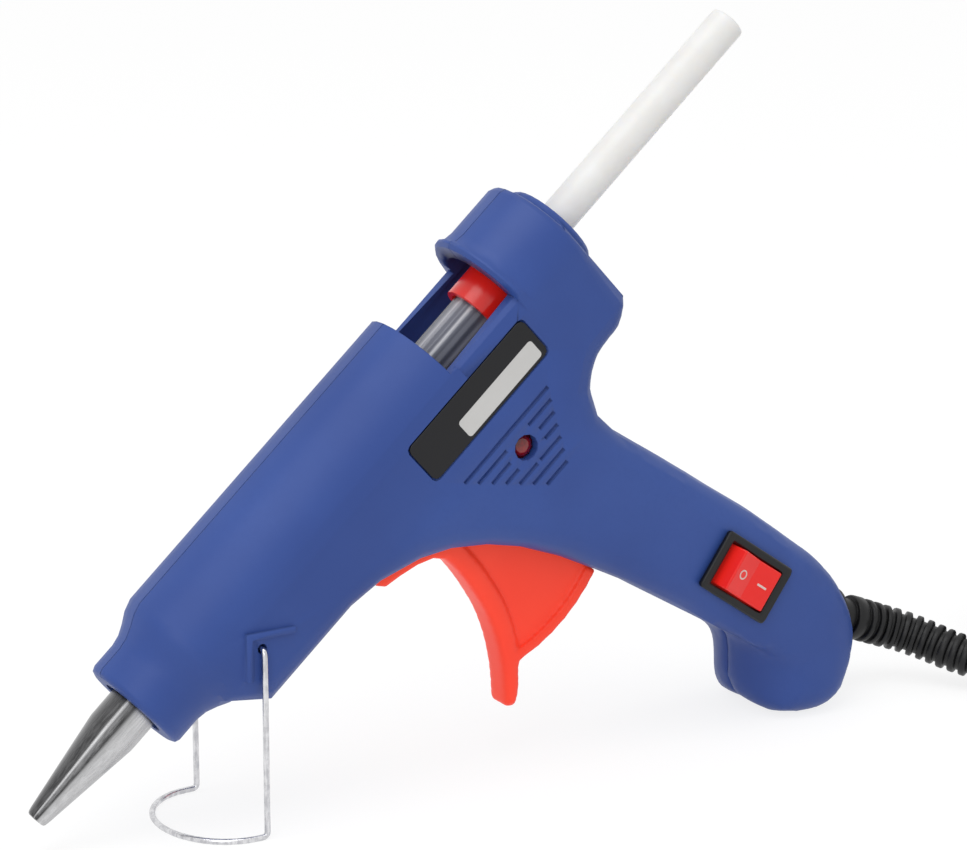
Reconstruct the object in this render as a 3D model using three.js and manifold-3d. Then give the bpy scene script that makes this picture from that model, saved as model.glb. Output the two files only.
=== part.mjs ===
// Small hot melt glue gun with a folding wire stand, in millimetres.
// Gun frame: X runs along the barrel from the nozzle tip to the rear, Z points away from the grip,
// and Y points to the right hand side. The whole gun is then tilted onto its stand, nozzle down.
import * as THREE from 'three';
import { mergeVertices } from 'three/addons/utils/BufferGeometryUtils.js';
import Module from 'manifold-3d';

const wasm = await Module();
wasm.setup();

// Driving dimensions
const barrelTilt = THREE.MathUtils.degToRad(41.7);
const bodyWidth = 26.6;
const bodyLength = 144.7;
const gripDrop = 116.8;
const wall = 2;
const splitGap = 0.3;
const gap = 0.3;
const edgeRadius = 5;
const overrun = 5;
const mergeDistance = 0.0001;
const roundSides = 28;
const smallSides = 12;
const halfWidth = bodyWidth / 2;

// Barrel shell: a round nose, a flare, the barrel, the sight window and the rear ring
const nose = { front: 26.4, radius: 10.2, length: 6, flare: 8.4, soft: 1.2, bore: 6.3 };
const flareShares = [[0.25, 0.12], [0.5, 0.42], [0.75, 0.8], [1, 1]];
const barrel = { floor: 14.9, chinStart: 37, chinDepth: 7.5, chinEnd: 43.5, rear: 110 };
const sight = { front: 108.3, rear: 126.8, floor: 3.3 };
const ring = {
  lipRadius: 14, lipEdge: 0.7, lipFlat: 1.3, lipLength: 3.8, rear: 142.8, soft: 1.6, collarRadius: 9.5,
  collarSoft: 0.7, bore: 4.7, cavity: 10.3, rearCavity: 7.3,
};
const rearFace = 143.7;

// Glue path
const stick = { radius: 3.5, front: 66, rear: 196.6, sides: 20 };
const nozzle = {
  tipRadius: 1.9, tipLength: 1.2, coneLength: 20.5, radius: 4.85, orifice: 0.9, orificeLength: 5,
  cavity: 2.5, shankRadius: 3.55, shankLength: 6,
};
const chamber = { front: 33, rear: 80, radius: 7, spigotRadius: 5.5, spigotLength: 8, bore: 3.9 };
const heater = {
  front: 50, length: 22, width: 11, thickness: 2.1, electrode: 0.4, tab: 2.6, bandHalf: 4, band: 0.6,
};
const bandArmAngle = THREE.MathUtils.degToRad(22);
const seal = { radius: 7.2, lip: 4.3, pocket: 4.6, front: 80.4, rear: 97 };
const tube = { outer: 4.7, inner: 4.1, rear: 127 };

// Trigger and feed
const pivot = { along: 94, drop: 21.8, pinRadius: 1.9, pinReach: 3.4, hubRadius: 4.6, boss: 4.4 };
const squeeze = THREE.MathUtils.degToRad(26);
const triggerHalfWidth = 3.6;
const triggerWebHalf = 2.3;
const triggerSoft = 1.1;
const triggerRimRadius = 36.2;
const triggerRimThickness = 2.2;
const rimStart = THREE.MathUtils.degToRad(-112);
const rimEnd = THREE.MathUtils.degToRad(-71);
const slotEnd = THREE.MathUtils.degToRad(-48);
const slotFront = 22.5;
const armPinDrop = 9.7;
const armHalfWidth = 2.4;
const prong = 1.7;
const feedPinRadius = 1.5;
const carriage = {
  front: 122, rear: 141.5, bore: 5.15, radius: 6.3, barInner: 3.1, barOuter: 5.1, barTop: 8.2, barBottom: 11.4,
  barReach: 4, lugThickness: 2, lugDrop: 16.3, lugAt: 104, shelves: [111, 131],
};
const jaw = {
  pivot: 136, tip: 133.6, hubRadius: 1.9, pinRadius: 0.8, tipDrop: 4.3, halfWidth: 2.3, slotHalf: 2.8,
  toothPitch: 0.9, toothDepth: 0.5, teeth: 3,
};
const spring = {
  radius: 1.9, wire: 0.3, curls: 9, steps: 8, sides: 5, drop: 14.5, postAt: 124, postRadius: 1.4,
};

// Grip: switch, lamp, label, vents
const gripAngle = THREE.MathUtils.degToRad(-77);
const toggle = {
  along: 124, drop: 76.3, length: 18, width: 12.2, proud: 1.3, bodyLength: 15.6, bodyWidth: 10.2, depth: 12.5,
  pocketDepth: 6.4, rockerLength: 13.6, rockerWidth: 8.4, rise: 1.7, dip: 0.5, pivotDepth: 2.2,
};
const toggleTilt = THREE.MathUtils.degToRad(9);
const terminal = { length: 5, width: 4.2, thickness: 0.8, spacing: 7 };
const lamp = { along: 109.4, drop: 19.2, radius: 2.5, flange: 3.4, flangeThickness: 1, sunk: 0.7, ring: 4.2 };
const lampBoard = { length: 11, height: 8, thickness: 1.2 };
const label = { front: 92.7, rear: 124.8, top: 0.1, bottom: 9.2, thickness: 0.4, recess: 0.7, corner: 1.2 };
const vent = {
  pitch: 2.32, first: 14.1, rows: 7, width: 0.9, depth: 0.8, front: 96.3, rear: 120.1, lean: 11.3, taper: 6.65,
};

// Stand, screws, cord
const stand = { along: 48.7, drop: 4.3, wire: 0.65, tail: 3.2, reach: 14.4, corner: 2, sides: 6 };
const ridge = { height: 0.9, width: 1.2, across: 8.6, down: 7.8, away: 2.3, above: 2.2 };
const screw = { radius: 1.1, head: 2.3, headHeight: 1.6, boss: 2.9, sunk: 5, bite: 6, driver: 0.5 };
const cord = { radius: 2.5, sides: 8 };
const boot = {
  radius: 4.3, tipRadius: 3.9, neck: 3.5, collar: 4.4, standOff: 1.7, flange: 5.2, flangeLength: 1.6,
  collarLength: 2.6,
  ribDepth: 0.7, ribs: 14, sides: 8, bore: 2.85, boreSteps: 8, along: 135.2, drop: 108,
};
const bootAngle = THREE.MathUtils.degToRad(-58.3);
const ribShares = { down: 0.12, floorEnd: 0.42, top: 0.54, topEnd: 0.96 };
const clamp = { inside: 12, length: 15, width: 4, thickness: 2, postRadius: 2.2, postAway: 5.2, bite: 3 };
const lead = { radius: 0.7, thin: 0.5, sides: 6, across: 1.2, steps: 18 };
const leadNotch = { top: 5.5, bottom: 10.8, depth: 3.8 };

// Cord on the table: it is folded into a hank behind the grip, held by a tie, and the plug lies on the hank
const hank = {
  start: 153.4, across: 1.17, run: 64, inner: 15, pitch: 5.8, turns: 4, steps: 24, sides: 6,
  low: 3.3, rise: 5.6, waist: 5,
};
const tie = { at: 185, width: 6, thickness: 0.4, corner: 2 };
const plug = {
  length: 34, width: 26, thickness: 13.6, neck: 9, neckRadius: 4.2, shoulder: 17, cordWidth: 12, corner: 2,
  pinRadius: 2, pinLength: 19, pinSpacing: 18.6, pinDepth: 5,
};

// How far a corner cut by two short edges stays from its point, as a share of the cut
const easeShare = 0.293;

// Helpers that turn three.js geometry into closed solids
function closed(geometry) {
  const bare = new THREE.BufferGeometry();
  bare.setAttribute('position', geometry.getAttribute('position'));
  if (geometry.index) bare.setIndex(geometry.index);
  const merged = mergeVertices(bare, mergeDistance);
  const position = merged.getAttribute('position');
  const [a, b, c] = [new THREE.Vector3(), new THREE.Vector3(), new THREE.Vector3()];
  const kept = [];
  let volume = 0;
  for (let i = 0; i < merged.index.count; i += 3) {
    const corners = [0, 1, 2].map((k) => merged.index.getX(i + k));
    if (new Set(corners).size < 3) continue;
    kept.push(corners);
    a.fromBufferAttribute(position, corners[0]);
    b.fromBufferAttribute(position, corners[1]);
    c.fromBufferAttribute(position, corners[2]);
    volume += a.dot(b.cross(c));
  }
  if (volume < 0) kept.forEach((corners) => corners.reverse());
  merged.setIndex(kept.flat());
  return merged;
}

function solid(geometry) {
  const body = closed(geometry);
  return new wasm.Manifold(new wasm.Mesh({
    numProp: 3,
    vertProperties: new Float32Array(body.getAttribute('position').array),
    triVerts: new Uint32Array(body.index.array),
  }));
}

function surface(manifold) {
  const result = manifold.getMesh();
  const geometry = new THREE.BufferGeometry();
  geometry.setAttribute('position', new THREE.BufferAttribute(result.vertProperties, 3));
  geometry.setIndex(new THREE.BufferAttribute(result.triVerts, 1));
  return geometry;
}

const join = (parts) => parts.map(solid).reduce((sum, part) => sum.add(part));
const cut = (body, tools) => tools.map(solid).reduce((rest, tool) => rest.subtract(tool), body);

// A profile of [along, radius] pairs turned about the barrel axis, or about a line beside it
function turned(profile, sides = roundSides) {
  const points = profile.map(([along, radius]) => new THREE.Vector2(radius, along));
  return new THREE.LatheGeometry(points, sides).rotateZ(-Math.PI / 2);
}

const turnedRing = (profile, sides = roundSides) => turned([...profile, profile[0]], sides);

// An outline of [along, up] pairs as a plate between two places across the gun
function plate(outline, low, high) {
  const shape = new THREE.Shape(outline.map(([along, up]) => new THREE.Vector2(along, up)));
  const depth = high - low;
  return new THREE.ExtrudeGeometry(shape, { depth, bevelEnabled: false })
    .rotateX(Math.PI / 2).translate(0, high, 0);
}

function roundedPlate(outline, half, radius, bevelSegments) {
  const shape = new THREE.Shape(outline.map(([along, up]) => new THREE.Vector2(along, up)));
  const depth = 2 * (half - radius);
  const bevel = { bevelThickness: radius, bevelSize: radius, bevelOffset: -radius, bevelSegments };
  return new THREE.ExtrudeGeometry(shape, { depth, ...bevel })
    .rotateX(Math.PI / 2).translate(0, depth / 2, 0);
}

function box([x0, x1], [y0, y1], [z0, z1]) {
  const geometry = new THREE.BoxGeometry(x1 - x0, y1 - y0, z1 - z0);
  return geometry.translate((x0 + x1) / 2, (y0 + y1) / 2, (z0 + z1) / 2);
}

// A round bar across the gun, and one between any two points
function crossBar(along, up, radius, low, high, sides = smallSides) {
  return new THREE.CylinderGeometry(radius, radius, high - low, sides).translate(along, (low + high) / 2, up);
}

// A path through given points, with one ring of a tube at each point
class PointPath extends THREE.Curve {
  constructor(points) {
    super();
    this.points = points;
  }

  getPointAt(share) {
    const place = share * (this.points.length - 1);
    const index = Math.min(Math.floor(place), this.points.length - 2);
    return this.points[index].clone().lerp(this.points[index + 1], place - index);
  }

  getPoint(share) {
    return this.getPointAt(share);
  }

  getTangentAt(share) {
    const index = Math.round(share * (this.points.length - 1));
    const before = this.points[Math.max(index - 1, 0)];
    const after = this.points[Math.min(index + 1, this.points.length - 1)];
    return after.clone().sub(before).normalize();
  }
}

function wireAlong(points, radius, sides) {
  const section = new THREE.Shape();
  for (let i = 0; i < sides; i += 1) {
    const angle = (2 * Math.PI * i) / sides;
    const corner = [radius * Math.cos(angle), radius * Math.sin(angle)];
    if (i === 0) section.moveTo(...corner);
    else section.lineTo(...corner);
  }
  const extrudePath = new PointPath(points);
  return new THREE.ExtrudeGeometry(section, { steps: points.length - 1, extrudePath, bevelEnabled: false });
}

const smoothPoints = (points, count) =>
  new THREE.CatmullRomCurve3(points, false, 'centripetal').getSpacedPoints(count);

// Moves an outline inwards by a distance, each corner along its own bisector
function inset(outline, distance) {
  const area = outline.reduce((sum, [x, y], i) => {
    const [nx, ny] = outline[(i + 1) % outline.length];
    return sum + x * ny - nx * y;
  }, 0);
  const side = Math.sign(area) * distance;
  return outline.map(([x, y], i) => {
    const [px, py] = outline[(i + outline.length - 1) % outline.length];
    const [nx, ny] = outline[(i + 1) % outline.length];
    const before = new THREE.Vector2(x - px, y - py).normalize();
    const after = new THREE.Vector2(nx - x, ny - y).normalize();
    const scale = side / (1 + before.dot(after));
    return [x - (before.y + after.y) * scale, y + (before.x + after.x) * scale];
  });
}

// Materials
function finish(color, roughness, metalness = 0, opacity = 1) {
  const look = { color, roughness, metalness, opacity, transparent: opacity < 1 };
  return () => new THREE.MeshStandardMaterial(look);
}

const bluePlastic = finish(0x43588f, 0.5);
const redPlastic = finish(0xf2563d, 0.4);
const deepRedPlastic = finish(0xc1372c, 0.35);
const blackPlastic = finish(0x1b1b1d, 0.6);
const blackRubber = finish(0x202022, 0.75);
const platedSteel = finish(0xc0c0c2, 0.25, 1);
const aluminium = finish(0xb4b6b8, 0.4, 1);
const brassMetal = finish(0xb08d4a, 0.35, 1);
const clearPlastic = finish(0xd8dde0, 0.1, 0, 0.35);
const siliconeRubber = finish(0xd9d4c8, 0.7);
const glueResin = finish(0xefeeec, 0.35);
const labelBlack = finish(0x161618, 0.4);
const ceramicWhite = finish(0xe6e2d8, 0.6);
const boardGreen = finish(0x2f6b45, 0.5);
const brownSleeve = finish(0x5a3a26, 0.5);
const blueSleeve = finish(0x2c5f9e, 0.5);

const row = new THREE.Group();
const standing = new THREE.Group();
const gun = new THREE.Group();
row.add(standing);
standing.add(gun);

function addTo(group, name, shape, material) {
  const geometry = closed(shape.isBufferGeometry ? shape : surface(shape));
  const mesh = new THREE.Mesh(geometry, material());
  mesh.name = name;
  group.add(mesh);
  return mesh;
}

const addPart = (name, shape, material) => addTo(gun, name, shape, material);

// Body outline below the barrel axis, from the chin under the nose round the grip to the rear face.
// The grip's corners are shares of the body length and of the grip's drop.
const undersideShares = [
  [0.456, -0.128], [0.504, -0.139], [0.56, -0.168], [0.597, -0.199], [0.636, -0.248], [0.67, -0.306],
  [0.699, -0.375], [0.723, -0.448], [0.742, -0.509], [0.767, -0.612], [0.781, -0.683], [0.789, -0.739],
  [0.791, -0.772], [0.787, -0.81], [0.764, -0.851], [0.76, -0.885], [0.771, -0.924],
];
const buttShares = [
  [0.857, -0.997], [0.892, -0.972], [0.927, -0.938], [0.951, -0.889], [0.961, -0.826], [0.959, -0.771],
];
const backShares = [
  [0.947, -0.695], [0.931, -0.602], [0.91, -0.505], [0.888, -0.394], [0.865, -0.295], [0.862, -0.245],
  [0.878, -0.201], [0.912, -0.171], [0.969, -0.17],
];
const restShare = [0.797, -0.959];
const restLength = 5;
const toeShare = [0.764, -0.851];
const toe = { reach: 20, rearTop: 8.4, slope: THREE.MathUtils.degToRad(31), sides: 40 };
const humpCornerShare = -0.14;
const fromShares = (shares) => shares.map(([along, up]) => [along * bodyLength, up * gripDrop]);

function bodyOutline() {
  const [restStart] = fromShares([restShare]);
  const restEnd = [
    restStart[0] + restLength * Math.cos(barrelTilt),
    restStart[1] - restLength * Math.sin(barrelTilt),
  ];
  return [
    [barrel.chinStart, edgeRadius],
    [barrel.chinStart, -barrel.chinDepth],
    [barrel.chinEnd, -barrel.floor],
    ...fromShares(undersideShares),
    restStart,
    restEnd,
    ...fromShares(buttShares),
    ...fromShares(backShares),
    [rearFace, humpCornerShare * gripDrop],
    [rearFace, edgeRadius],
  ];
}

// The grip's resting flat stands on the table, and the nozzle tip then has this height.
const outline = bodyOutline();
const heightOf = ([along, up]) => along * Math.sin(barrelTilt) + up * Math.cos(barrelTilt);
const tipHeight = -Math.min(...outline.map(heightOf));
const toRow = (along, up, across = 0) => new THREE.Vector3(
  along * Math.cos(barrelTilt) - up * Math.sin(barrelTilt), across,
  tipHeight + along * Math.sin(barrelTilt) + up * Math.cos(barrelTilt),
);
const gripDirection = [Math.cos(gripAngle), Math.sin(gripAngle)];

// A place on the grip, measured along it and square to it from the switch
function gripPlace(down, forward) {
  return [
    toggle.along + down * gripDirection[0] + forward * gripDirection[1],
    -toggle.drop + down * gripDirection[1] - forward * gripDirection[0],
  ];
}

function gripRectangle(length, width) {
  const [l, w] = [length / 2, width / 2];
  return [gripPlace(-l, -w), gripPlace(l, -w), gripPlace(l, w), gripPlace(-l, w)];
}

const onPivot = (radius, angle) => [
  pivot.along + radius * Math.cos(angle), -pivot.drop + radius * Math.sin(angle),
];

// Screws: where each pair of bosses stands
const screwPlaces = {
  front: [47, -10.2],
  middle: [79.5, -13.3],
  rear: [138.4, -14.5],
  grip: [119.4, -58],
  butt: [118.5, -103.5],
};

// The nose widens to the barrel in a soft flare
function flare(inner) {
  const start = [nose.front + nose.length, nose.radius - inner];
  return [start, ...flareShares.map(([along, up]) => [
    start[0] + along * nose.flare, start[1] + up * (halfWidth - nose.radius),
  ])];
}

// The toe of the grip is round when seen from above. What lies outside that round is cut away.
function toeCutter(inner) {
  const [along, up] = fromShares([toeShare])[0];
  const front = toRow(along, up).x;
  const centre = front + halfWidth;
  const radius = halfWidth - inner;
  const top = toe.rearTop + inner / Math.cos(toe.slope);
  const corner = plate([
    [front - toe.reach, -overrun], [centre, -overrun], [centre, top],
    [front - toe.reach, top + (halfWidth + toe.reach) * Math.tan(toe.slope)],
  ], -bodyWidth, bodyWidth);
  const post = new THREE.CylinderGeometry(radius, radius, 2 * gripDrop, toe.sides).rotateX(Math.PI / 2);
  const [kept, cutAway] = [post.translate(centre, 0, 0), corner]
    .map((shape) => solid(shape.translate(0, 0, -tipHeight).rotateY(barrelTilt)));
  return cutAway.subtract(kept);
}

// The outer skin and the hollow of both shells together
function outerSkin() {
  const round = turned([
    [nose.front, 0], [nose.front, nose.radius - nose.soft],
    [nose.front + nose.soft * easeShare, nose.radius - nose.soft * easeShare],
    [nose.front + nose.soft, nose.radius], ...flare(0), [barrel.rear, halfWidth], [barrel.rear, 0],
  ]);
  const lipEnd = sight.rear + ring.lipLength;
  const rear = turned([
    [sight.rear, 0], [sight.rear, ring.lipRadius - ring.lipEdge], [sight.rear + ring.lipEdge, ring.lipRadius],
    [sight.rear + ring.lipFlat, ring.lipRadius], [(sight.rear + lipEnd) / 2, halfWidth],
    [lipEnd, halfWidth - gap],
    [ring.rear - ring.soft, halfWidth - gap],
    [ring.rear - ring.soft * easeShare, halfWidth - gap - ring.soft * easeShare],
    [ring.rear, halfWidth - gap - ring.soft], [ring.rear, ring.collarRadius],
    [bodyLength - ring.collarSoft, ring.collarRadius],
    [bodyLength, ring.collarRadius - ring.collarSoft], [bodyLength, 0],
  ]);
  const bodyBlock = roundedPlate(outline, halfWidth, edgeRadius, 3);
  const rearRing = solid(rear);
  const slab = solid(box([0, bodyLength], [-halfWidth, halfWidth], [-gripDrop, halfWidth + overrun]));
  return solid(round).add(rearRing.intersect(slab)).add(solid(bodyBlock)).subtract(toeCutter(0));
}

function hollow() {
  const round = turned([
    [nose.front + wall, 0], [nose.front + wall, nose.radius - wall], ...flare(wall),
    [barrel.rear, halfWidth - wall], [sight.rear, ring.cavity],
    [ring.rear - wall, ring.cavity], [ring.rear - wall, ring.rearCavity],
    [ring.rear, ring.rearCavity], [ring.rear, 0],
  ]);
  const innerEdge = edgeRadius - wall;
  const inner = roundedPlate(inset(outline, wall), halfWidth - wall, innerEdge, 2);
  return solid(round).add(solid(inner)).subtract(toeCutter(wall));
}

// Openings that both shells share
function windowCutter() {
  return box([sight.front, sight.rear], [-bodyWidth, bodyWidth], [sight.floor, bodyWidth]);
}

function noseCutter() {
  const bore = nose.bore;
  return turned([[0, 0], [0, bore], [nose.front + wall + overrun, bore], [nose.front + wall + overrun, 0]]);
}

function stickHoleCutter() {
  const end = bodyLength + overrun;
  return turned([[ring.rear, 0], [ring.rear, ring.bore], [end, ring.bore], [end, 0]], smallSides * 2);
}

function triggerSlotCutter() {
  const reach = triggerRimRadius + gap * 2;
  const arcShares = [0, 0.25, 0.5, 0.75, 1];
  const arc = arcShares.map((share) => onPivot(reach, rimStart + (slotEnd - rimStart) * share));
  const front = pivot.along - slotFront;
  const slot = [
    [front, -pivot.drop], [front, -barrel.floor + wall * 2],
    [pivot.along - wall, -pivot.drop + wall * 3], ...arc.reverse(),
  ];
  return plate(slot, -triggerHalfWidth - gap * 2, triggerHalfWidth + gap * 2);
}

function standHoleCutter() {
  return crossBar(stand.along, -stand.drop, stand.wire + gap, -bodyWidth, bodyWidth);
}

function bootHoleCutter() {
  const place = (distance) => bootEntry().addScaledVector(bootAxis(), distance);
  const deep = -wall - gap * 4 - boot.flangeLength;
  return solid(roundBetween(place(deep), place(overrun), boot.neck + gap))
    .add(solid(roundBetween(place(deep), place(-wall), boot.flange + gap)));
}

function bootAxis() {
  return new THREE.Vector3(Math.cos(bootAngle), 0, Math.sin(bootAngle));
}

function bootEntry() {
  return new THREE.Vector3(boot.along, 0, -boot.drop);
}

function roundBetween(start, end, radius, sides = smallSides) {
  const span = end.clone().sub(start);
  const geometry = new THREE.CylinderGeometry(radius, radius, span.length(), sides);
  const turn = new THREE.Quaternion().setFromUnitVectors(new THREE.Vector3(0, 1, 0), span.clone().normalize());
  const middle = start.clone().add(end).multiplyScalar(1 / 2);
  return geometry.applyQuaternion(turn).translate(middle.x, middle.y, middle.z);
}

// Ribs that carry the heating chamber, the guide tube and the carriage
function ribs() {
  const chamberHold = chamber.radius + gap;
  const tubeHold = tube.outer + gap;
  const barShelf = carriage.barBottom + gap;
  const inside = halfWidth - wall + gap;
  const chamberRib = (at) => ({
    at, low: -barrel.floor + wall / 2, high: halfWidth - wall / 2, hold: chamberHold,
  });
  const rows = [chamberRib(chamber.front + wall * 2), chamberRib(chamber.rear - wall * 2)];
  const [frontRib, rearRib] = rows.map(({ at, low, high, hold }) => {
    const plateBox = solid(box([at, at + wall], [-inside, inside], [low, high]));
    return cut(
      plateBox, [turned([[at - overrun, 0], [at - overrun, hold], [at + overrun, hold], [at + overrun, 0]])],
    );
  });
  const cradleAt = sight.front - wall * 2;
  const cradle = cut(
    solid(box(
      [cradleAt, cradleAt + wall], [-inside, inside], [-barShelf + gap - wall / 2, tube.outer + wall * 3],
    )),
    [
      turned([
        [cradleAt - overrun, 0], [cradleAt - overrun, tubeHold],
        [cradleAt + overrun, tubeHold], [cradleAt + overrun, 0],
      ]),
      box([cradleAt - overrun, cradleAt + overrun], [-carriage.barOuter - gap, carriage.barOuter + gap],
        [-bodyWidth, -carriage.barTop + gap]),
    ],
  );
  const shelves = carriage.shelves.map((at) => solid(box(
    [at, at + wall], [carriage.barInner, inside], [-barShelf - wall, -barShelf],
  )).add(solid(box([at, at + wall], [-inside, -carriage.barInner], [-barShelf - wall, -barShelf]))));
  const notch = box(
    [chamber.rear - overrun, chamber.rear], [inside - leadNotch.depth, bodyWidth],
    [-leadNotch.bottom, -leadNotch.top],
  );
  return [frontRib, cut(rearRib, [notch]), cradle, ...shelves];
}

function boss([along, up], radius = screw.boss) {
  return crossBar(along, up, radius, -halfWidth + wall / 2, halfWidth - wall / 2);
}

// Both shells are cut from one body at the middle of the gun
function shellBody() {
  const skin = outerSkin();
  const inside = hollow();
  const opened = cut(skin.subtract(inside).subtract(bootHoleCutter()), [
    windowCutter(), noseCutter(), stickHoleCutter(), triggerSlotCutter(), standHoleCutter(),
  ]);
  const limits = skin.subtract(solid(triggerSlotCutter()));
  const bosses = Object.values(screwPlaces).map((place) => solid(boss(place)));
  const pivotBosses = [-1, 1].map((side) => {
    const ends = [side * (triggerHalfWidth + gap), side * (halfWidth - wall / 2)];
    return solid(crossBar(pivot.along, -pivot.drop, pivot.boss, Math.min(...ends), Math.max(...ends)));
  });
  const fillings = [...ribs(), ...bosses].map((part) => part.intersect(limits));
  const pinEnd = triggerHalfWidth + gap * 2 + pivot.pinReach;
  const pinHole = crossBar(pivot.along, -pivot.drop, pivot.pinRadius + gap, -pinEnd, pinEnd, 16);
  return cut([...fillings, ...pivotBosses].reduce((sum, part) => sum.add(part), opened), [pinHole]);
}

function half(body, side) {
  const far = side * bodyWidth;
  const near = (side * splitGap) / 2;
  const range = [Math.min(near, far), Math.max(near, far)];
  return body.intersect(
    solid(box([-overrun, bodyLength + overrun], range, [-gripDrop - overrun, bodyWidth])),
  );
}

// Vent grooves: rows parallel to the barrel that narrow towards the grip and stop round the lamp
function ventGrooves(side, aroundLamp) {
  const outer = side * (halfWidth + overrun);
  const floor = side * (halfWidth - vent.depth);
  const range = [Math.min(outer, floor), Math.max(outer, floor)];
  const grooves = [];
  for (let i = 0; i < vent.rows; i += 1) {
    const share = i / (vent.rows - 1);
    const drop = vent.first + vent.pitch * i;
    const front = vent.front + vent.lean * share;
    const rear = vent.rear - vent.taper * share;
    const up = [-drop - vent.width / 2, -drop + vent.width / 2];
    const away = Math.abs(drop - lamp.drop);
    const spans = [];
    if (aroundLamp && away < lamp.ring) {
      const reach = Math.sqrt(lamp.ring ** 2 - away ** 2);
      spans.push([front, lamp.along - reach], [lamp.along + reach, rear]);
    } else {
      spans.push([front, rear]);
    }
    spans.forEach((span) => grooves.push(box(span, range, up)));
  }
  return grooves;
}

// Raised L beside the stand's pivot that stops the stand from swinging past upright
function standRidge(side) {
  const across = [side * (halfWidth - gap), side * (halfWidth + ridge.height)];
  const range = [Math.min(...across), Math.max(...across)];
  const away = ridge.away;
  const upright = box([-away - ridge.width, -away], range, [-ridge.down + ridge.above, ridge.above]);
  const top = box(
    [-away - ridge.width, ridge.across - away], range, [ridge.above, ridge.above + ridge.width],
  );
  return solid(upright).add(solid(top)).rotate([0, THREE.MathUtils.radToDeg(barrelTilt), 0])
    .translate([stand.along, 0, -stand.drop]);
}

function labelRecess(grow, low, high) {
  const outlineOf = [
    [label.front - grow, -label.bottom - grow], [label.rear + grow, -label.bottom - grow],
    [label.rear + grow, -label.top + grow], [label.front - grow, -label.top + grow],
  ];
  return plate(roundCorners(outlineOf, label.corner), low, high);
}

// Cuts each corner of an outline with two short edges
function roundCorners(corners, radius) {
  const result = [];
  corners.forEach(([x, y], i) => {
    const before = corners[(i + corners.length - 1) % corners.length];
    const after = corners[(i + 1) % corners.length];
    const back = new THREE.Vector2(before[0] - x, before[1] - y).normalize().multiplyScalar(radius);
    const on = new THREE.Vector2(after[0] - x, after[1] - y).normalize().multiplyScalar(radius);
    result.push([x + back.x, y + back.y]);
    result.push([x + (back.x + on.x) * easeShare, y + (back.y + on.y) * easeShare]);
    result.push([x + on.x, y + on.y]);
  });
  return result;
}

function leftShell(body) {
  const pilots = Object.values(screwPlaces).map(([along, up]) => crossBar(
    along, up, screw.radius + gap, -screw.bite - gap, overrun,
  ));
  const clampPilots = [-1, 1].map((side) => crossBar(
    ...clampPlace(side), screw.radius + gap, -clamp.bite - gap, cord.radius + overrun,
  ));
  const switchHole = plate(
    gripRectangle(toggle.bodyLength + gap * 2, toggle.bodyWidth + gap * 2), -bodyWidth, 0,
  );
  const lampHole = crossBar(lamp.along, -lamp.drop, lamp.radius, -bodyWidth, -halfWidth + wall + overrun);
  const recess = labelRecess(gap, -bodyWidth, -halfWidth + label.recess);
  const carried = half(body, -1).add(solid(springPost())).add(solid(clampPost(-1))).add(solid(clampPost(1)));
  const cuts = [...pilots, ...clampPilots, switchHole, lampHole, recess, ...ventGrooves(-1, true)];
  return cut(carried, cuts).add(standRidge(-1));
}

function rightShell(body) {
  const holes = Object.values(screwPlaces).flatMap(([along, up]) => [
    crossBar(along, up, screw.radius + gap, -overrun, bodyWidth),
    crossBar(along, up, screw.head + gap, halfWidth - screw.sunk, bodyWidth),
  ]);
  return cut(half(body, 1), [...holes, ...ventGrooves(1, false)]).add(standRidge(1));
}

// A screw driven from the right, with its head on a seat and a slot across the head
function screwShape([along, up], seat, bite) {
  const shank = crossBar(along, up, screw.radius, -bite, seat + screw.headHeight / 2, 8);
  const head = crossBar(along, up, screw.head, seat, seat + screw.headHeight);
  const slot = box(
    [along - screw.head, along + screw.head],
    [seat + screw.headHeight - screw.driver, seat + screw.headHeight + overrun],
    [up - screw.driver / 2, up + screw.driver / 2],
  );
  return cut(join([shank, head]), [slot]);
}

const caseScrew = (place) => screwShape(place, halfWidth - screw.sunk + gap, screw.bite);

// Nozzle with a steel cone, a plain shank and a stepped bore
function nozzleShape() {
  const shoulder = chamber.front - gap;
  const end = chamber.front + nozzle.shankLength;
  return turnedRing([
    [0, nozzle.orifice], [0, nozzle.tipRadius], [nozzle.tipLength, nozzle.tipRadius + gap / 2],
    [nozzle.coneLength, nozzle.radius], [shoulder, nozzle.radius], [shoulder, nozzle.shankRadius],
    [end, nozzle.shankRadius], [end, nozzle.cavity], [nozzle.coneLength, nozzle.cavity],
    [nozzle.orificeLength, nozzle.orifice],
  ]);
}

function chamberShape() {
  const spigotEnd = chamber.rear + chamber.spigotLength;
  const pipe = solid(turnedRing([
    [chamber.front, chamber.bore], [chamber.front, chamber.radius], [chamber.rear, chamber.radius],
    [chamber.rear, chamber.spigotRadius], [spigotEnd, chamber.spigotRadius], [spigotEnd, chamber.bore],
  ]));
  const pad = solid(box(
    [heater.front, heater.front + heater.length], [-heater.width / 2, heater.width / 2],
    [-chamber.radius - gap, -chamber.radius + wall],
  ));
  const pipeBore = turned([
    [0, 0], [0, chamber.bore], [spigotEnd + overrun, chamber.bore], [spigotEnd + overrun, 0],
  ]);
  return cut(pipe.add(pad), [pipeBore]);
}

function heaterTop() {
  return -chamber.radius - gap * 2;
}

// The heating plate lies between two brass electrodes, each with a tab at the rear for its lead
function heaterShape() {
  const top = heaterTop() - heater.electrode - gap;
  return box(
    [heater.front, heater.front + heater.length], [-heater.width / 2, heater.width / 2],
    [top - heater.thickness, top],
  );
}

function heaterBottom() {
  return heaterTop() - heater.thickness - 2 * heater.electrode - 2 * gap;
}

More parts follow.
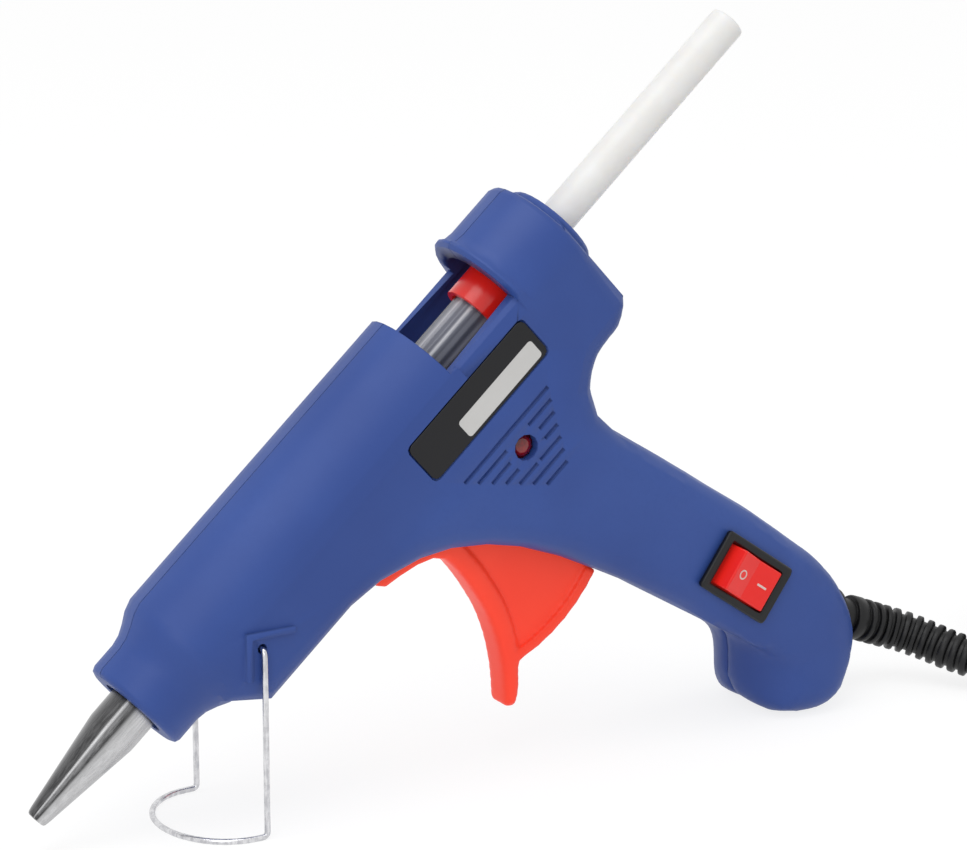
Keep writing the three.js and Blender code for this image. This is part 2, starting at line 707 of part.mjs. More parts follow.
function electrodeShape(bottom) {
  const edge = heater.width / 2 - gap;
  const end = heater.front + heater.length;
  const strip = box([heater.front, end], [-edge, edge], [bottom, bottom + heater.electrode]);
  const tab = box([end - gap, end + heater.tab], [gap, edge], [bottom, bottom + heater.electrode]);
  return join([strip, tab]);
}

// Spring steel band that presses the heater against the chamber
function heaterClipShape() {
  const middle = heater.front + heater.length / 2;
  const bottom = heaterBottom() - gap;
  const side = heater.width / 2 + gap;
  const loop = (grow) => {
    const points = [];
    const radius = chamber.radius + gap + grow;
    const arcSteps = 12;
    for (let i = 0; i <= arcSteps; i += 1) {
      const angle = ((Math.PI + 2 * bandArmAngle) * i) / arcSteps - bandArmAngle;
      points.push([radius * Math.cos(angle), radius * Math.sin(angle)]);
    }
    points.push([-side - grow, bottom - grow], [side + grow, bottom - grow]);
    return points;
  };
  const band = (grow, over) => {
    const shape = new THREE.Shape(loop(grow).map(([across, up]) => new THREE.Vector2(across, up)));
    const depth = 2 * (heater.bandHalf + over);
    return new THREE.ExtrudeGeometry(shape, { depth, bevelEnabled: false })
      .rotateX(Math.PI / 2).rotateZ(Math.PI / 2).translate(middle - heater.bandHalf - over, 0, 0);
  };
  return solid(band(heater.band, 0)).subtract(solid(band(0, overrun)));
}

function sealShape() {
  const spigotEnd = chamber.rear + chamber.spigotLength;
  const tubeFront = seal.rear - seal.pocket;
  return turnedRing([
    [seal.front, chamber.spigotRadius + gap], [seal.front, seal.radius], [seal.rear, seal.radius],
    [seal.rear, tube.outer + gap], [tubeFront, tube.outer + gap], [tubeFront, seal.lip],
    [spigotEnd + gap, seal.lip], [spigotEnd + gap, chamber.spigotRadius + gap],
  ]);
}

function sealClipShape() {
  const centre = seal.radius + gap + stand.wire;
  const at = (seal.front + chamber.rear + chamber.spigotLength) / 2;
  const points = [];
  for (let i = 0; i < stand.sides; i += 1) {
    const angle = (2 * Math.PI * i) / stand.sides;
    points.push([at + stand.wire * Math.sin(angle), centre + stand.wire * Math.cos(angle)]);
  }
  return turnedRing(points, smallSides * 2);
}

function tubeShape() {
  const front = seal.rear - seal.pocket + gap;
  return turnedRing(
    [[front, tube.inner], [front, tube.outer], [tube.rear, tube.outer], [tube.rear, tube.inner]],
  );
}

// Feed carriage: the red collar round the guide tube and two bars below it
function feedPin() {
  const lever = pivot.drop - armPinDrop;
  return [pivot.along + lever * Math.tan(squeeze / 2), -armPinDrop];
}

function carriageShape() {
  const [pinAlong, pinUp] = feedPin();
  const sleeve = turnedRing([
    [carriage.front, carriage.bore], [carriage.front, carriage.radius],
    [carriage.rear, carriage.radius], [carriage.rear, carriage.bore],
  ]);
  const bars = [-1, 1].flatMap((side) => {
    const range = [side * carriage.barInner, side * carriage.barOuter].sort((a, b) => a - b);
    const plateFront = carriage.front + wall;
    const bar = box(
      [pinAlong - carriage.barReach, carriage.rear], range, [-carriage.barBottom, -carriage.barTop],
    );
    const web = box([plateFront, carriage.rear], range, [-carriage.barTop - gap, -carriage.bore / 2]);
    return [bar, web];
  });
  const pin = crossBar(pinAlong, pinUp, feedPinRadius, -carriage.barOuter + gap, carriage.barOuter - gap);
  const lug = box(
    [carriage.lugAt, carriage.lugAt + carriage.lugThickness], [-carriage.barOuter, carriage.barOuter],
    [-carriage.lugDrop, -carriage.barTop - gap],
  );
  const front = carriage.front - overrun;
  const rear = carriage.rear + overrun;
  const bore = turned([[front, 0], [front, carriage.bore], [rear, carriage.bore], [rear, 0]]);
  const jawSlot = box(
    [jaw.tip - wall, carriage.rear - wall], [-jaw.slotHalf, jaw.slotHalf], [-carriage.barBottom - overrun, 0],
  );
  return cut(join([sleeve, ...bars, pin, lug]), [bore, jawSlot, jawHole()]);
}

// Toothed jaw that bites the stick from below when the carriage moves forward
function jawShape() {
  const hub = crossBar(jaw.pivot, -armPinDrop, jaw.hubRadius, -jaw.halfWidth, jaw.halfWidth);
  const tip = [];
  for (let i = 0; i < jaw.teeth; i += 1) {
    tip.push([jaw.tip + jaw.toothPitch * i, -jaw.tipDrop]);
    tip.push([jaw.tip + jaw.toothPitch * (i + 1 / 2), -jaw.tipDrop - jaw.toothDepth]);
  }
  const arm = plate([
    [jaw.pivot - jaw.hubRadius, -armPinDrop], ...tip,
    [jaw.tip + jaw.toothPitch * jaw.teeth, -jaw.tipDrop], [jaw.pivot + jaw.hubRadius, -armPinDrop],
  ], -jaw.halfWidth, jaw.halfWidth);
  return cut(join([hub, arm]), [jawHole()]);
}

const jawHole = () => crossBar(jaw.pivot, -armPinDrop, jaw.pinRadius + gap, -bodyWidth, bodyWidth);

const jawPinShape = () =>
  crossBar(jaw.pivot, -armPinDrop, jaw.pinRadius, -carriage.barOuter, carriage.barOuter);

// Trigger: finger flange in front, thin web, rear rim round the pivot, and a forked arm above
const fingerShares = [
  [-0.575, 0.085], [-0.572, 0.02], [-0.545, -0.02], [-0.454, -0.044], [-0.35, -0.08], [-0.262, -0.13],
  [-0.222, -0.19], [-0.213, -0.27], [-0.219, -0.376], [-0.237, -0.501], [-0.258, -0.605], [-0.294, -0.71],
  [-0.345, -0.82], [-0.405, -0.92], [-0.463, -1], [-0.53, -1.085], [-0.49, -1.13],
];
const fingerBackShares = [
  [-0.41, -1.075], [-0.35, -1.01], [-0.302, -0.955], [-0.238, -0.865], [-0.182, -0.75], [-0.14, -0.63],
  [-0.119, -0.52], [-0.1, -0.39], [-0.095, -0.27], [-0.095, -0.05], [-0.12, 0.07], [-0.35, 0.085],
];
const webFrontShares = [
  [-0.16, 0.02], [-0.155, -0.27], [-0.16, -0.39], [-0.178, -0.51], [-0.2, -0.62], [-0.238, -0.73],
  [-0.29, -0.84],
];

function fromTrigger(shares) {
  return shares.map(([along, up]) => [
    pivot.along + along * triggerRimRadius, -pivot.drop + up * triggerRimRadius,
  ]);
}

function pivotArc(radius, from, to, steps) {
  const points = [];
  for (let i = 0; i <= steps; i += 1) points.push(onPivot(radius, from + ((to - from) * i) / steps));
  return points;
}

function triggerShape() {
  const fingers = fromTrigger([...fingerShares, ...fingerBackShares]);
  const flange = roundedPlate(fingers, triggerHalfWidth, triggerSoft, 2);
  const rimInner = triggerRimRadius - triggerRimThickness;
  const rim = plate([
    ...pivotArc(triggerRimRadius, rimStart, rimEnd, 7), ...pivotArc(rimInner, rimEnd, rimStart, 7),
  ], -triggerHalfWidth, triggerHalfWidth);
  const web = plate([
    ...fromTrigger(webFrontShares).reverse(), ...pivotArc(pivot.hubRadius / 2, Math.PI / 2, 0, 2),
    ...pivotArc(rimInner + triggerRimThickness / 2, rimEnd, rimStart, 7),
  ], -triggerWebHalf, triggerWebHalf);
  const hub = crossBar(pivot.along, -pivot.drop, pivot.hubRadius, -triggerHalfWidth, triggerHalfWidth, 16);
  return cut(join([flange, rim, web, hub, armOutline()]), [
    crossBar(pivot.along, -pivot.drop, pivot.pinRadius + gap, -bodyWidth, bodyWidth, 16),
  ]);
}

// The arm stands over the pivot, leans back by half the squeeze and straddles the carriage's pin
function armOutline() {
  const lever = (pivot.drop - armPinDrop) / Math.cos(squeeze / 2);
  const slotHalf = feedPinRadius + gap;
  const depth = feedPinRadius + gap * 2;
  const top = lever + feedPinRadius + gap;
  const sketch = [
    [-slotHalf - prong, 0], [slotHalf + prong, 0], [slotHalf + prong, top], [slotHalf, top],
    [slotHalf, lever - depth], [-slotHalf, lever - depth], [-slotHalf, top], [-slotHalf - prong, top],
  ];
  const lean = squeeze / 2;
  const placed = sketch.map(([x, y]) => [
    pivot.along + x * Math.cos(lean) + y * Math.sin(lean),
    -pivot.drop - x * Math.sin(lean) + y * Math.cos(lean),
  ]);
  return plate(placed, -armHalfWidth, armHalfWidth);
}

function triggerPinShape() {
  const reach = triggerHalfWidth + gap + pivot.pinReach;
  return crossBar(pivot.along, -pivot.drop, pivot.pinRadius, -reach, reach, 16);
}

// Return spring: close coils between the carriage's lug and a post on the left shell
function springPoints() {
  const start = carriage.lugAt + carriage.lugThickness + gap;
  const end = spring.postAt - spring.postRadius - gap;
  const stub = spring.wire * 2;
  const { steps } = spring;
  const total = spring.curls * steps;
  const length = end - start - 2 * stub;
  const points = [new THREE.Vector3(start, 0, -spring.drop + spring.radius)];
  for (let i = 0; i <= total; i += 1) {
    const angle = (2 * Math.PI * i) / steps;
    points.push(new THREE.Vector3(
      start + stub + (length * i) / total, spring.radius * Math.sin(angle),
      -spring.drop + spring.radius * Math.cos(angle),
    ));
  }
  points.push(new THREE.Vector3(end, 0, -spring.drop + spring.radius));
  return points;
}

const springShape = () => wireAlong(springPoints(), spring.wire, spring.sides);

function springPost() {
  return crossBar(spring.postAt, -spring.drop, spring.postRadius, -halfWidth + wall / 2, spring.radius + gap);
}

// Rocker switch: a bezel on the shell, a body inside it and a rocker across
function switchShape() {
  const bezel = plate(
    roundCorners(gripRectangle(toggle.length, toggle.width), gap * 2),
    -halfWidth - gap - toggle.proud, -halfWidth - gap,
  );
  const inner = plate(
    gripRectangle(toggle.bodyLength, toggle.bodyWidth), -halfWidth - gap * 2, -halfWidth + toggle.depth,
  );
  const pocket = plate(
    gripRectangle(toggle.rockerLength + gap * 2, toggle.rockerWidth + gap * 2),
    -bodyWidth, -halfWidth + toggle.pocketDepth,
  );
  return cut(join([bezel, inner]), [pocket]);
}

// The rocker is drawn along the grip and across the gun, then tipped about its pivot
function rockerShape() {
  const face = -halfWidth - toggle.proud;
  const end = toggle.rockerLength / 2;
  const pivotAcross = -halfWidth + toggle.pivotDepth;
  const shape = new THREE.Shape([
    [-end + gap * 3, face - toggle.rise], [0, face - toggle.dip], [end - gap * 3, face - toggle.rise],
    [end - gap, pivotAcross - wall / 2], [wall * 2, pivotAcross + wall], [-wall * 2, pivotAcross + wall],
    [-end + gap, pivotAcross - wall / 2],
  ].map(([down, across]) => new THREE.Vector2(down, across - pivotAcross)));
  const geometry = new THREE.ExtrudeGeometry(shape, { depth: toggle.rockerWidth, bevelEnabled: false });
  geometry.translate(0, 0, -toggle.rockerWidth / 2).rotateZ(toggleTilt).translate(0, pivotAcross, 0);
  return geometry.rotateY(-gripAngle).translate(toggle.along, 0, -toggle.drop);
}

function terminalShape(sign) {
  const low = -halfWidth + toggle.depth + gap;
  const [along, up] = gripPlace((sign * terminal.spacing) / 2, 0);
  const corners = [[-1, -1], [1, -1], [1, 1], [-1, 1]].map(([d, f]) => {
    const [x, z] = gripPlace((d * terminal.thickness) / 2, (f * terminal.width) / 2);
    return [x - toggle.along + along, z + toggle.drop + up];
  });
  return plate(corners, low, low + terminal.length);
}

function lampShape() {
  const inner = -halfWidth + wall + gap;
  const dome = crossBar(lamp.along, -lamp.drop, lamp.radius - gap, -halfWidth + lamp.sunk, inner + gap, 16);
  const flange = crossBar(lamp.along, -lamp.drop, lamp.flange, inner, inner + lamp.flangeThickness, 16);
  return join([dome, flange]);
}

function lampBoardShape() {
  const low = -halfWidth + wall + gap * 2 + lamp.flangeThickness;
  return box(
    [lamp.along - lampBoard.length / 2, lamp.along + lampBoard.length / 2], [low, low + lampBoard.thickness],
    [-lamp.drop - lampBoard.height / 2, -lamp.drop + lampBoard.height / 2],
  );
}

// Wire stand: both ends spring into the shell, the legs drop to the table, the foot reaches forward
function standPoints() {
  const across = halfWidth + gap + stand.wire;
  const hinge = toRow(stand.along, -stand.drop);
  const floor = stand.wire;
  const side = [];
  const tail = across - stand.tail - stand.wire;
  side.push(new THREE.Vector3(hinge.x, tail, hinge.z));
  side.push(new THREE.Vector3(hinge.x, across - stand.wire, hinge.z));
  side.push(new THREE.Vector3(hinge.x, across, hinge.z - stand.wire));
  side.push(new THREE.Vector3(hinge.x, across, floor + stand.corner));
  side.push(new THREE.Vector3(hinge.x - stand.corner * easeShare, across, floor + stand.corner * easeShare));
  side.push(new THREE.Vector3(hinge.x - stand.corner, across, floor));
  const steps = 7;
  for (let i = 1; i <= steps; i += 1) {
    const angle = (Math.PI / 2) * (i / steps);
    const reach = stand.corner + (stand.reach - stand.corner) * Math.sin(angle);
    side.push(new THREE.Vector3(hinge.x - reach, across * Math.cos(angle), floor));
  }
  const mirrored = side.slice(0, -1).reverse().map((point) => new THREE.Vector3(point.x, -point.y, point.z));
  return [...side, ...mirrored];
}

// Strain relief: a flange inside the wall, a neck through it, a collar and ribs outside
const bootBend = [
  [12.6, -0.8, -4.6], [17.1, -3.2, -6.2], [20.6, -6.7, -7.7], [23.5, -10.7, -9.1], [26.8, -15, -10.3],
  [30.8, -18.6, -11.5],
];

function bootCurve() {
  const place = (distance) => {
    const point = bootEntry().addScaledVector(bootAxis(), distance);
    return toRow(point.x, point.z);
  };
  const entry = place(0);
  const bend = bootBend.map(([x, y, z]) => new THREE.Vector3(entry.x + x, y, entry.z + z));
  const straight = [place(-wall - gap - boot.flangeLength), entry, place(boot.collarLength)];
  return new THREE.CatmullRomCurve3([...straight, ...bend], false, 'centripetal');
}

function ringAt(centre, direction, radius, sides) {
  const across = new THREE.Vector3(0, 1, 0).addScaledVector(direction, -direction.y).normalize();
  const up = direction.clone().cross(across).normalize();
  const points = [];
  for (let i = 0; i < sides; i += 1) {
    const angle = (2 * Math.PI * (i + 1 / 2)) / sides;
    points.push(centre.clone().addScaledVector(across, radius * Math.cos(angle))
      .addScaledVector(up, radius * Math.sin(angle)));
  }
  return points;
}

// Rings in order, outside first and bore last, that close on themselves
function ringSurface(rings) {
  const sides = rings[0].length;
  const positions = rings.flat().flatMap((point) => point.toArray());
  const index = [];
  rings.forEach((_, i) => {
    const next = (i + 1) % rings.length;
    for (let k = 0; k < sides; k += 1) {
      const [a, b] = [i * sides + k, i * sides + ((k + 1) % sides)];
      const [c, d] = [next * sides + k, next * sides + ((k + 1) % sides)];
      index.push(a, b, d, a, d, c);
    }
  });
  const geometry = new THREE.BufferGeometry();
  geometry.setAttribute('position', new THREE.Float32BufferAttribute(positions, 3));
  geometry.setIndex(index);
  return geometry;
}

function bootShape() {
  const curve = bootCurve();
  const total = curve.getLength();
  const inner = boot.flangeLength + wall + gap;
  const stations = [
    [0, boot.flange], [boot.flangeLength, boot.flange], [boot.flangeLength, boot.neck],
    [inner + boot.standOff, boot.neck], [inner + boot.standOff, boot.collar],
    [inner + boot.standOff + boot.collarLength, boot.collar],
  ];
  const firstRib = inner + boot.standOff + boot.collarLength;
  const pitch = (total - firstRib) / boot.ribs;
  for (let i = 0; i < boot.ribs; i += 1) {
    const at = firstRib + pitch * i;
    const crest = THREE.MathUtils.lerp(boot.radius, boot.tipRadius, i / boot.ribs);
    const floor = crest - boot.ribDepth;
    stations.push([at + pitch * ribShares.down, floor], [at + pitch * ribShares.floorEnd, floor]);
    stations.push([at + pitch * ribShares.top, crest], [at + pitch * ribShares.topEnd, crest]);
  }
  const ring = (distance, radius) => {
    const share = distance / total;
    return ringAt(curve.getPointAt(share), curve.getTangentAt(share), radius, boot.sides);
  };
  const last = stations[stations.length - 1][0];
  const outer = stations.map(([distance, radius]) => ring(distance, radius));
  const inside = [];
  for (let i = boot.boreSteps; i >= 0; i -= 1) inside.push(ring((last * i) / boot.boreSteps, boot.bore));
  return ringSurface([...outer, ...inside]);
}

// Cord inside the grip: from the clamp out through the strain relief's bore
function cordInnerEnd(back = 0) {
  return bootEntry().addScaledVector(bootAxis(), -clamp.inside - clamp.width - back);
}

function innerCordPoints() {
  const curve = bootCurve();
  const total = curve.getLength();
  const start = cordInnerEnd();
  const points = [toRow(start.x, start.z)];
  for (let i = 0; i <= boot.boreSteps; i += 1) {
    points.push(curve.getPointAt(((total - gap) * i) / boot.boreSteps / total));
  }
  return points;
}

// Cord clamp: two posts on the left shell, a bar across the cord and a screw in each post
function clampPlace(side) {
  const axis = bootAxis();
  const centre = bootEntry().addScaledVector(axis, -clamp.inside);
  return [centre.x - side * clamp.postAway * axis.z, centre.z + side * clamp.postAway * axis.x];
}

const clampPost = (side) =>
  crossBar(...clampPlace(side), clamp.postRadius, -halfWidth + wall / 2, cord.radius);

function clampBarShape() {
  const axis = bootAxis();
  const centre = bootEntry().addScaledVector(axis, -clamp.inside);
  const corners = [[-1, -1], [1, -1], [1, 1], [-1, 1]].map(([side, end]) => {
    const [across, along] = [(side * clamp.length) / 2, (end * clamp.width) / 2];
    return [centre.x - across * axis.z + along * axis.x, centre.z + across * axis.x + along * axis.z];
  });
  const low = cord.radius + gap;
  const holes = [-1, 1].map((side) => crossBar(...clampPlace(side), screw.radius + gap, 0, bodyWidth));
  return cut(solid(plate(corners, low, low + clamp.thickness)), holes);
}

const clampScrew = (side) =>
  screwShape(clampPlace(side), cord.radius + gap + clamp.thickness + gap, clamp.bite);

// Leads run inside the right shell. Their places are shares of the length, the grip's drop and the half width.
const liveShares = [[0.866, -0.782, -0.04], [0.868, -0.745, 0.113]];
const neutralShares = [
  [0.864, -0.782, 0.17], [0.832, -0.722, 0.639], [0.798, -0.634, 0.744], [0.786, -0.531, 0.744],
  [0.76, -0.411, 0.744], [0.722, -0.308, 0.744], [0.702, -0.231, 0.744], [0.692, -0.171, 0.744],
  [0.66, -0.127, 0.744], [0.612, -0.096, 0.744], [0.574, -0.08, 0.744], [0.532, -0.077, 0.744],
  [0.515, -0.084, 0.677],
];
const switchedShares = [
  [0.858, -0.599, 0.414], [0.864, -0.539, 0.714], [0.849, -0.445, 0.744], [0.798, -0.325, 0.744],
  [0.747, -0.231, 0.744], [0.719, -0.158, 0.744], [0.67, -0.104, 0.744], [0.622, -0.075, 0.744],
  [0.581, -0.0625, 0.744], [0.532, -0.059, 0.744], [0.515, -0.062, 0.677],
];
const lampSwitchedShares = [
  [0.774, -0.197, -0.451], [0.781, -0.24, 0], [0.778, -0.274, 0.376], [0.774, -0.281, 0.662],
];
const lampNeutralShares = [
  [0.747, -0.205, -0.414], [0.757, -0.24, 0], [0.75, -0.261, 0.421], [0.725, -0.269, 0.571],
  [0.711, -0.27, 0.662],
];

const leadPlaces = (shares) => shares.map(([along, up, across]) => new THREE.Vector3(
  along * bodyLength, across * halfWidth, up * gripDrop,
));

function corePlace(side) {
  return cordInnerEnd(gap * 2).add(new THREE.Vector3(0, side * lead.across, 0));
}

function terminalPlace(sign) {
  const [along, up] = gripPlace(sign * (terminal.spacing / 2 + terminal.thickness / 2 + gap * 2), 0);
  return new THREE.Vector3(along, -halfWidth + toggle.depth + gap + terminal.length / 2, up);
}

// The last two places of a lead that meets the side of an electrode's tab
function tabPlaces(bottom) {
  const along = heater.front + heater.length + heater.tab / 2;
  const up = bottom + heater.electrode / 2;
  const edge = heater.width / 2 + gap;
  return [new THREE.Vector3(along, edge + lead.radius * 2, up), new THREE.Vector3(along, edge, up)];
}

function lampPlace(along) {
  const face = -halfWidth + wall + gap * 2 + lamp.flangeThickness + lampBoard.thickness;
  return new THREE.Vector3(along, face + gap, -lamp.drop - lampBoard.height / 4);
}

const leadAlong = (points, radius = lead.radius) =>
  wireAlong(smoothPoints(points, lead.steps), radius, lead.sides);

// Free cord: a short stretch down to the table, the hank, and the end that rises to the plug
const cordStretch = [
  [118.3, -17.95, 4.55], [120, -18.85, 4.25], [122, -19.65, 4.05], [124.2, -20.2, 3.9], [127, -20.4, 3.7],
  [131.5, -20.4, 3.55], [139, -20.4, 3.4], [148.1, -20.4, 3.3],
];
const cordEnd = [
  [158.7, -18.86, 20.1], [163, -18.6, 20.4], [168, -17.3, 21.6], [173, -15, 23.3], [178, -12, 25.2],
  [183, -8.6, 27.1], [188, -5.3, 28.6], [193, -2.4, 29.4], [198, -0.4, 29.7], [202, 0.3, 29.7],
  [206, 0.5, 29.7],
];

const onTable = (points) => points.map((point) => new THREE.Vector3(...point));

const loopLength = () => 2 * hank.run + 2 * Math.PI * (hank.inner + hank.pitch / 2);
const halfRunShare = () => hank.run / 2 / loopLength();

// A loop has two straight runs and two round folds. It starts half way along the near run.
function loopPlace(turn, radius) {
  const half = halfRunShare();
  const fold = 1 / 2 - 2 * half;
  const far = hank.start + hank.run;
  const place = turn - Math.floor(turn);
  const nearer = place < 1 / 2 ? place : place - 1 / 2;
  const side = place < 1 / 2 ? 1 : -1;
  if (nearer < half || nearer > half + fold) {
    const passed = Math.min(nearer, 1 / 2 - nearer) * loopLength();
    return [hank.start + hank.run / 2 + side * passed, side * Math.sign(nearer - half) * radius];
  }
  const angle = (Math.PI * (nearer - half)) / fold;
  const middle = side > 0 ? far : hank.start;
  return [middle + side * radius * Math.sin(angle), -side * radius * Math.cos(angle)];
}

// The hank winds inwards and outwards in turn, climbs a layer where the spiral turns back, and has a waist.
function hankPlace(turn) {
  const outward = turn < 0 ? 1 - turn : Math.abs(turn - 2 * Math.floor(turn / 2) - 1);
  const [along, across] = loopPlace(turn, hank.inner + hank.pitch * outward);
  const share = THREE.MathUtils.clamp((along - hank.start) / hank.run, 0, 1);
  const drawnIn = (hank.waist * (1 - Math.cos(2 * Math.PI * share))) / 2;
  let layers = 0;
  for (let i = 1; i < hank.turns; i += 1) {
    layers += THREE.MathUtils.smoothstep(turn, i - halfRunShare(), i + halfRunShare());
  }
  return new THREE.Vector3(
    along, hank.across + across - Math.sign(across) * drawnIn, hank.low + hank.rise * layers,
  );
}

function hankPoints() {
  const first = -halfRunShare();
  const last = hank.turns + first;
  const points = [];
  const count = hank.turns * hank.steps;
  for (let i = 0; i <= count; i += 1) points.push(hankPlace(THREE.MathUtils.lerp(first, last, i / count)));
  points.unshift(points[0].clone().add(new THREE.Vector3(-2 * cord.radius, 0, 0)));
  points.push(points[points.length - 1].clone().add(new THREE.Vector3(2 * cord.radius, 0, 0)));
  return points;
}

// Tie: a flat band round both runs at the hank's waist
function tieShape() {
  const side = hank.inner + hank.pitch - hank.waist + cord.radius + gap;
  const low = hank.low - cord.radius - gap;
  const high = hank.low + hank.rise * (hank.turns - 1) + cord.radius + gap;
  const loop = (grow) => roundCorners([
    [-side - grow, low - grow], [side + grow, low - grow], [side + grow, high + grow],
    [-side - grow, high + grow],
  ], tie.corner + grow);
  const outside = solid(plate(loop(tie.thickness), -tie.width / 2, tie.width / 2));
  const band = surface(cut(outside, [plate(loop(0), -tie.width, tie.width)]));
  return band.rotateZ(Math.PI / 2).translate(tie.at, hank.across, 0);
}

// Least clear space between two lengths of one wound wire, from points that aren't next to each other
function leastGap(points, radius, apart) {
  let least = Infinity;
  points.forEach((point, i) => {
    points.slice(i + apart).forEach((other) => { least = Math.min(least, point.distanceTo(other)); });
  });
  return least - 2 * radius;
}

// Two-pin plug: a flat body that narrows to a neck, and a pin in each blind hole
function plugShape() {
  const [w, c] = [plug.width / 2, plug.cordWidth / 2];
  const rows = [
    [-c, plug.neck], [c, plug.neck], [w, plug.shoulder], [w, plug.length],
    [-w, plug.length], [-w, plug.shoulder],
  ];
  const shape = new THREE.Shape(rows.map(([across, along]) => new THREE.Vector2(across, along)));
  const depth = plug.thickness - 2 * plug.corner;
  const bevel = {
    bevelThickness: plug.corner, bevelSize: plug.corner, bevelOffset: -plug.corner, bevelSegments: 2,
  };
  const block = new THREE.ExtrudeGeometry(shape, { depth, ...bevel }).translate(0, 0, -depth / 2);
  const neckEnd = plug.neck + plug.corner * 2;
  const neck = new THREE.CylinderGeometry(plug.neckRadius, plug.neckRadius, neckEnd, smallSides)
    .translate(0, neckEnd / 2, 0);
  return cut(join([block, neck]), [-1, 1].map((side) => plugPin(side, gap)));
}

function plugPin(side, grow) {
  const start = plug.length - plug.pinDepth - grow;
  const end = plug.length + plug.pinLength + grow * overrun;
  const bar = new THREE.CylinderGeometry(plug.pinRadius + grow, plug.pinRadius + grow, end - start, smallSides);
  return bar.translate((side * plug.pinSpacing) / 2, (start + end) / 2, 0);
}

addPart('nozzle', nozzleShape(), platedSteel);
addPart('heating_chamber', chamberShape(), aluminium);
addPart('heater_plate', heaterShape(), ceramicWhite);
addPart('heater_electrode_upper', electrodeShape(heaterTop() - heater.electrode), brassMetal);
addPart('heater_electrode_lower', electrodeShape(heaterBottom()), brassMetal);
addPart('heater_clip', heaterClipShape(), platedSteel);
addPart('inlet_seal', sealShape(), siliconeRubber);
addPart('seal_clip', sealClipShape(), platedSteel);
addPart('guide_tube', tubeShape(), clearPlastic);
addPart('feed_carriage', carriageShape(), deepRedPlastic);
addPart('grip_jaw', jawShape(), platedSteel);
addPart('jaw_pin', jawPinShape(), platedSteel);
addPart('trigger', triggerShape(), redPlastic);
addPart('trigger_pin', triggerPinShape(), platedSteel);
addPart('return_spring', springShape(), platedSteel);
addPart('switch_body', switchShape(), blackPlastic);
addPart('switch_rocker', rockerShape(), redPlastic);
addPart('switch_terminal_upper', terminalShape(-1), brassMetal);
addPart('switch_terminal_lower', terminalShape(1), brassMetal);
addPart('power_lamp', lampShape(), deepRedPlastic);
addPart('lamp_board', lampBoardShape(), boardGreen);
addPart('label_plate', labelRecess(0, -halfWidth, -halfWidth + label.thickness), labelBlack);
addPart('glue_stick', turned([
  [stick.front, 0], [stick.front, stick.radius], [stick.rear, stick.radius], [stick.rear, 0],
], stick.sides), glueResin);

const body = shellBody();
addPart('left_shell', leftShell(body), bluePlastic);
addPart('right_shell', rightShell(body), bluePlastic);
Object.entries(screwPlaces).forEach(([name, place]) => {
  addPart(`case_screw_${name}`, caseScrew(place), platedSteel);
});

addPart('cord_clamp', clampBarShape(), blackPlastic);
addPart('clamp_screw_rear', clampScrew(1), platedSteel);
addPart('clamp_screw_front', clampScrew(-1), platedSteel);
addPart('lead_live', leadAlong([corePlace(-1), ...leadPlaces(liveShares), terminalPlace(1)]), brownSleeve);
addPart('lead_neutral', leadAlong(
  [corePlace(1), ...leadPlaces(neutralShares), ...tabPlaces(heaterBottom())],
), blueSleeve);
addPart('lead_switched', leadAlong(
  [terminalPlace(-1), ...leadPlaces(switchedShares), ...tabPlaces(heaterTop() - heater.electrode)],
), brownSleeve);
const lampAway = lampBoard.length / 4;
addPart('lamp_lead_switched', leadAlong(
  [lampPlace(lamp.along + lampAway), ...leadPlaces(lampSwitchedShares)], lead.thin,
), brownSleeve);
addPart('lamp_lead_neutral', leadAlong(
  [lampPlace(lamp.along - lampAway), ...leadPlaces(lampNeutralShares)], lead.thin,
), blueSleeve);
addTo(standing, 'wire_stand', wireAlong(standPoints(), stand.wire, stand.sides), platedSteel);

// The gun tips onto its stand. The origin lies under the middle of the gun, and the cord doesn't count.
gun.rotation.y = -barrelTilt;
gun.position.z = tipHeight;
standing.updateMatrixWorld(true);
const middle = new THREE.Box3().setFromObject(standing, true).getCenter(new THREE.Vector3());
standing.position.set(-middle.x, -middle.y, 0);

addTo(standing, 'strain_relief', bootShape(), blackRubber);
addTo(standing, 'inner_cord', wireAlong(innerCordPoints(), cord.radius, cord.sides), blackRubber);
addTo(row, 'cord_free', wireAlong(onTable(cordStretch), cord.radius, cord.sides), blackRubber);
addTo(row, 'cord_hank', wireAlong(hankPoints(), cord.radius, hank.sides), blackRubber);
addTo(row, 'cord_tie', tieShape(), blackPlastic);
addTo(row, 'cord_end', wireAlong(onTable(cordEnd), cord.radius, cord.sides), blackRubber);

const plugGroup = new THREE.Group();
plugGroup.position.set(...cordEnd[cordEnd.length - 1]);
plugGroup.position.x += gap;
plugGroup.rotation.z = -Math.PI / 2;
row.add(plugGroup);
addTo(plugGroup, 'plug_body', plugShape(), blackPlastic);
addTo(plugGroup, 'plug_pin_left', plugPin(-1, 0), brassMetal);
addTo(plugGroup, 'plug_pin_right', plugPin(1, 0), brassMetal);

console.log('least gap of the cord hank, mm:', leastGap(hankPoints(), cord.radius, hank.steps / 2).toFixed(2));
console.log('least gap of the return spring, mm:', leastGap(springPoints(), spring.wire, 4).toFixed(2));

export default row;
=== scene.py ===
# %% [markdown]
# # A small hot glue gun on its wire stand
#
# The object is a pistol-grip glue gun that leans nozzle down on a folding wire stand. Its solids come
# from a CAD model. This lesson dresses them: it keeps their places, gives the bought-in and moulded
# pieces the finish of the real ones, and models again the pieces whose small forms a CAD solid leaves out.
# All lengths are metres, and everything stands in the CAD model's own frame.

import math

import bmesh
import bpy
from mathutils import Matrix, Vector


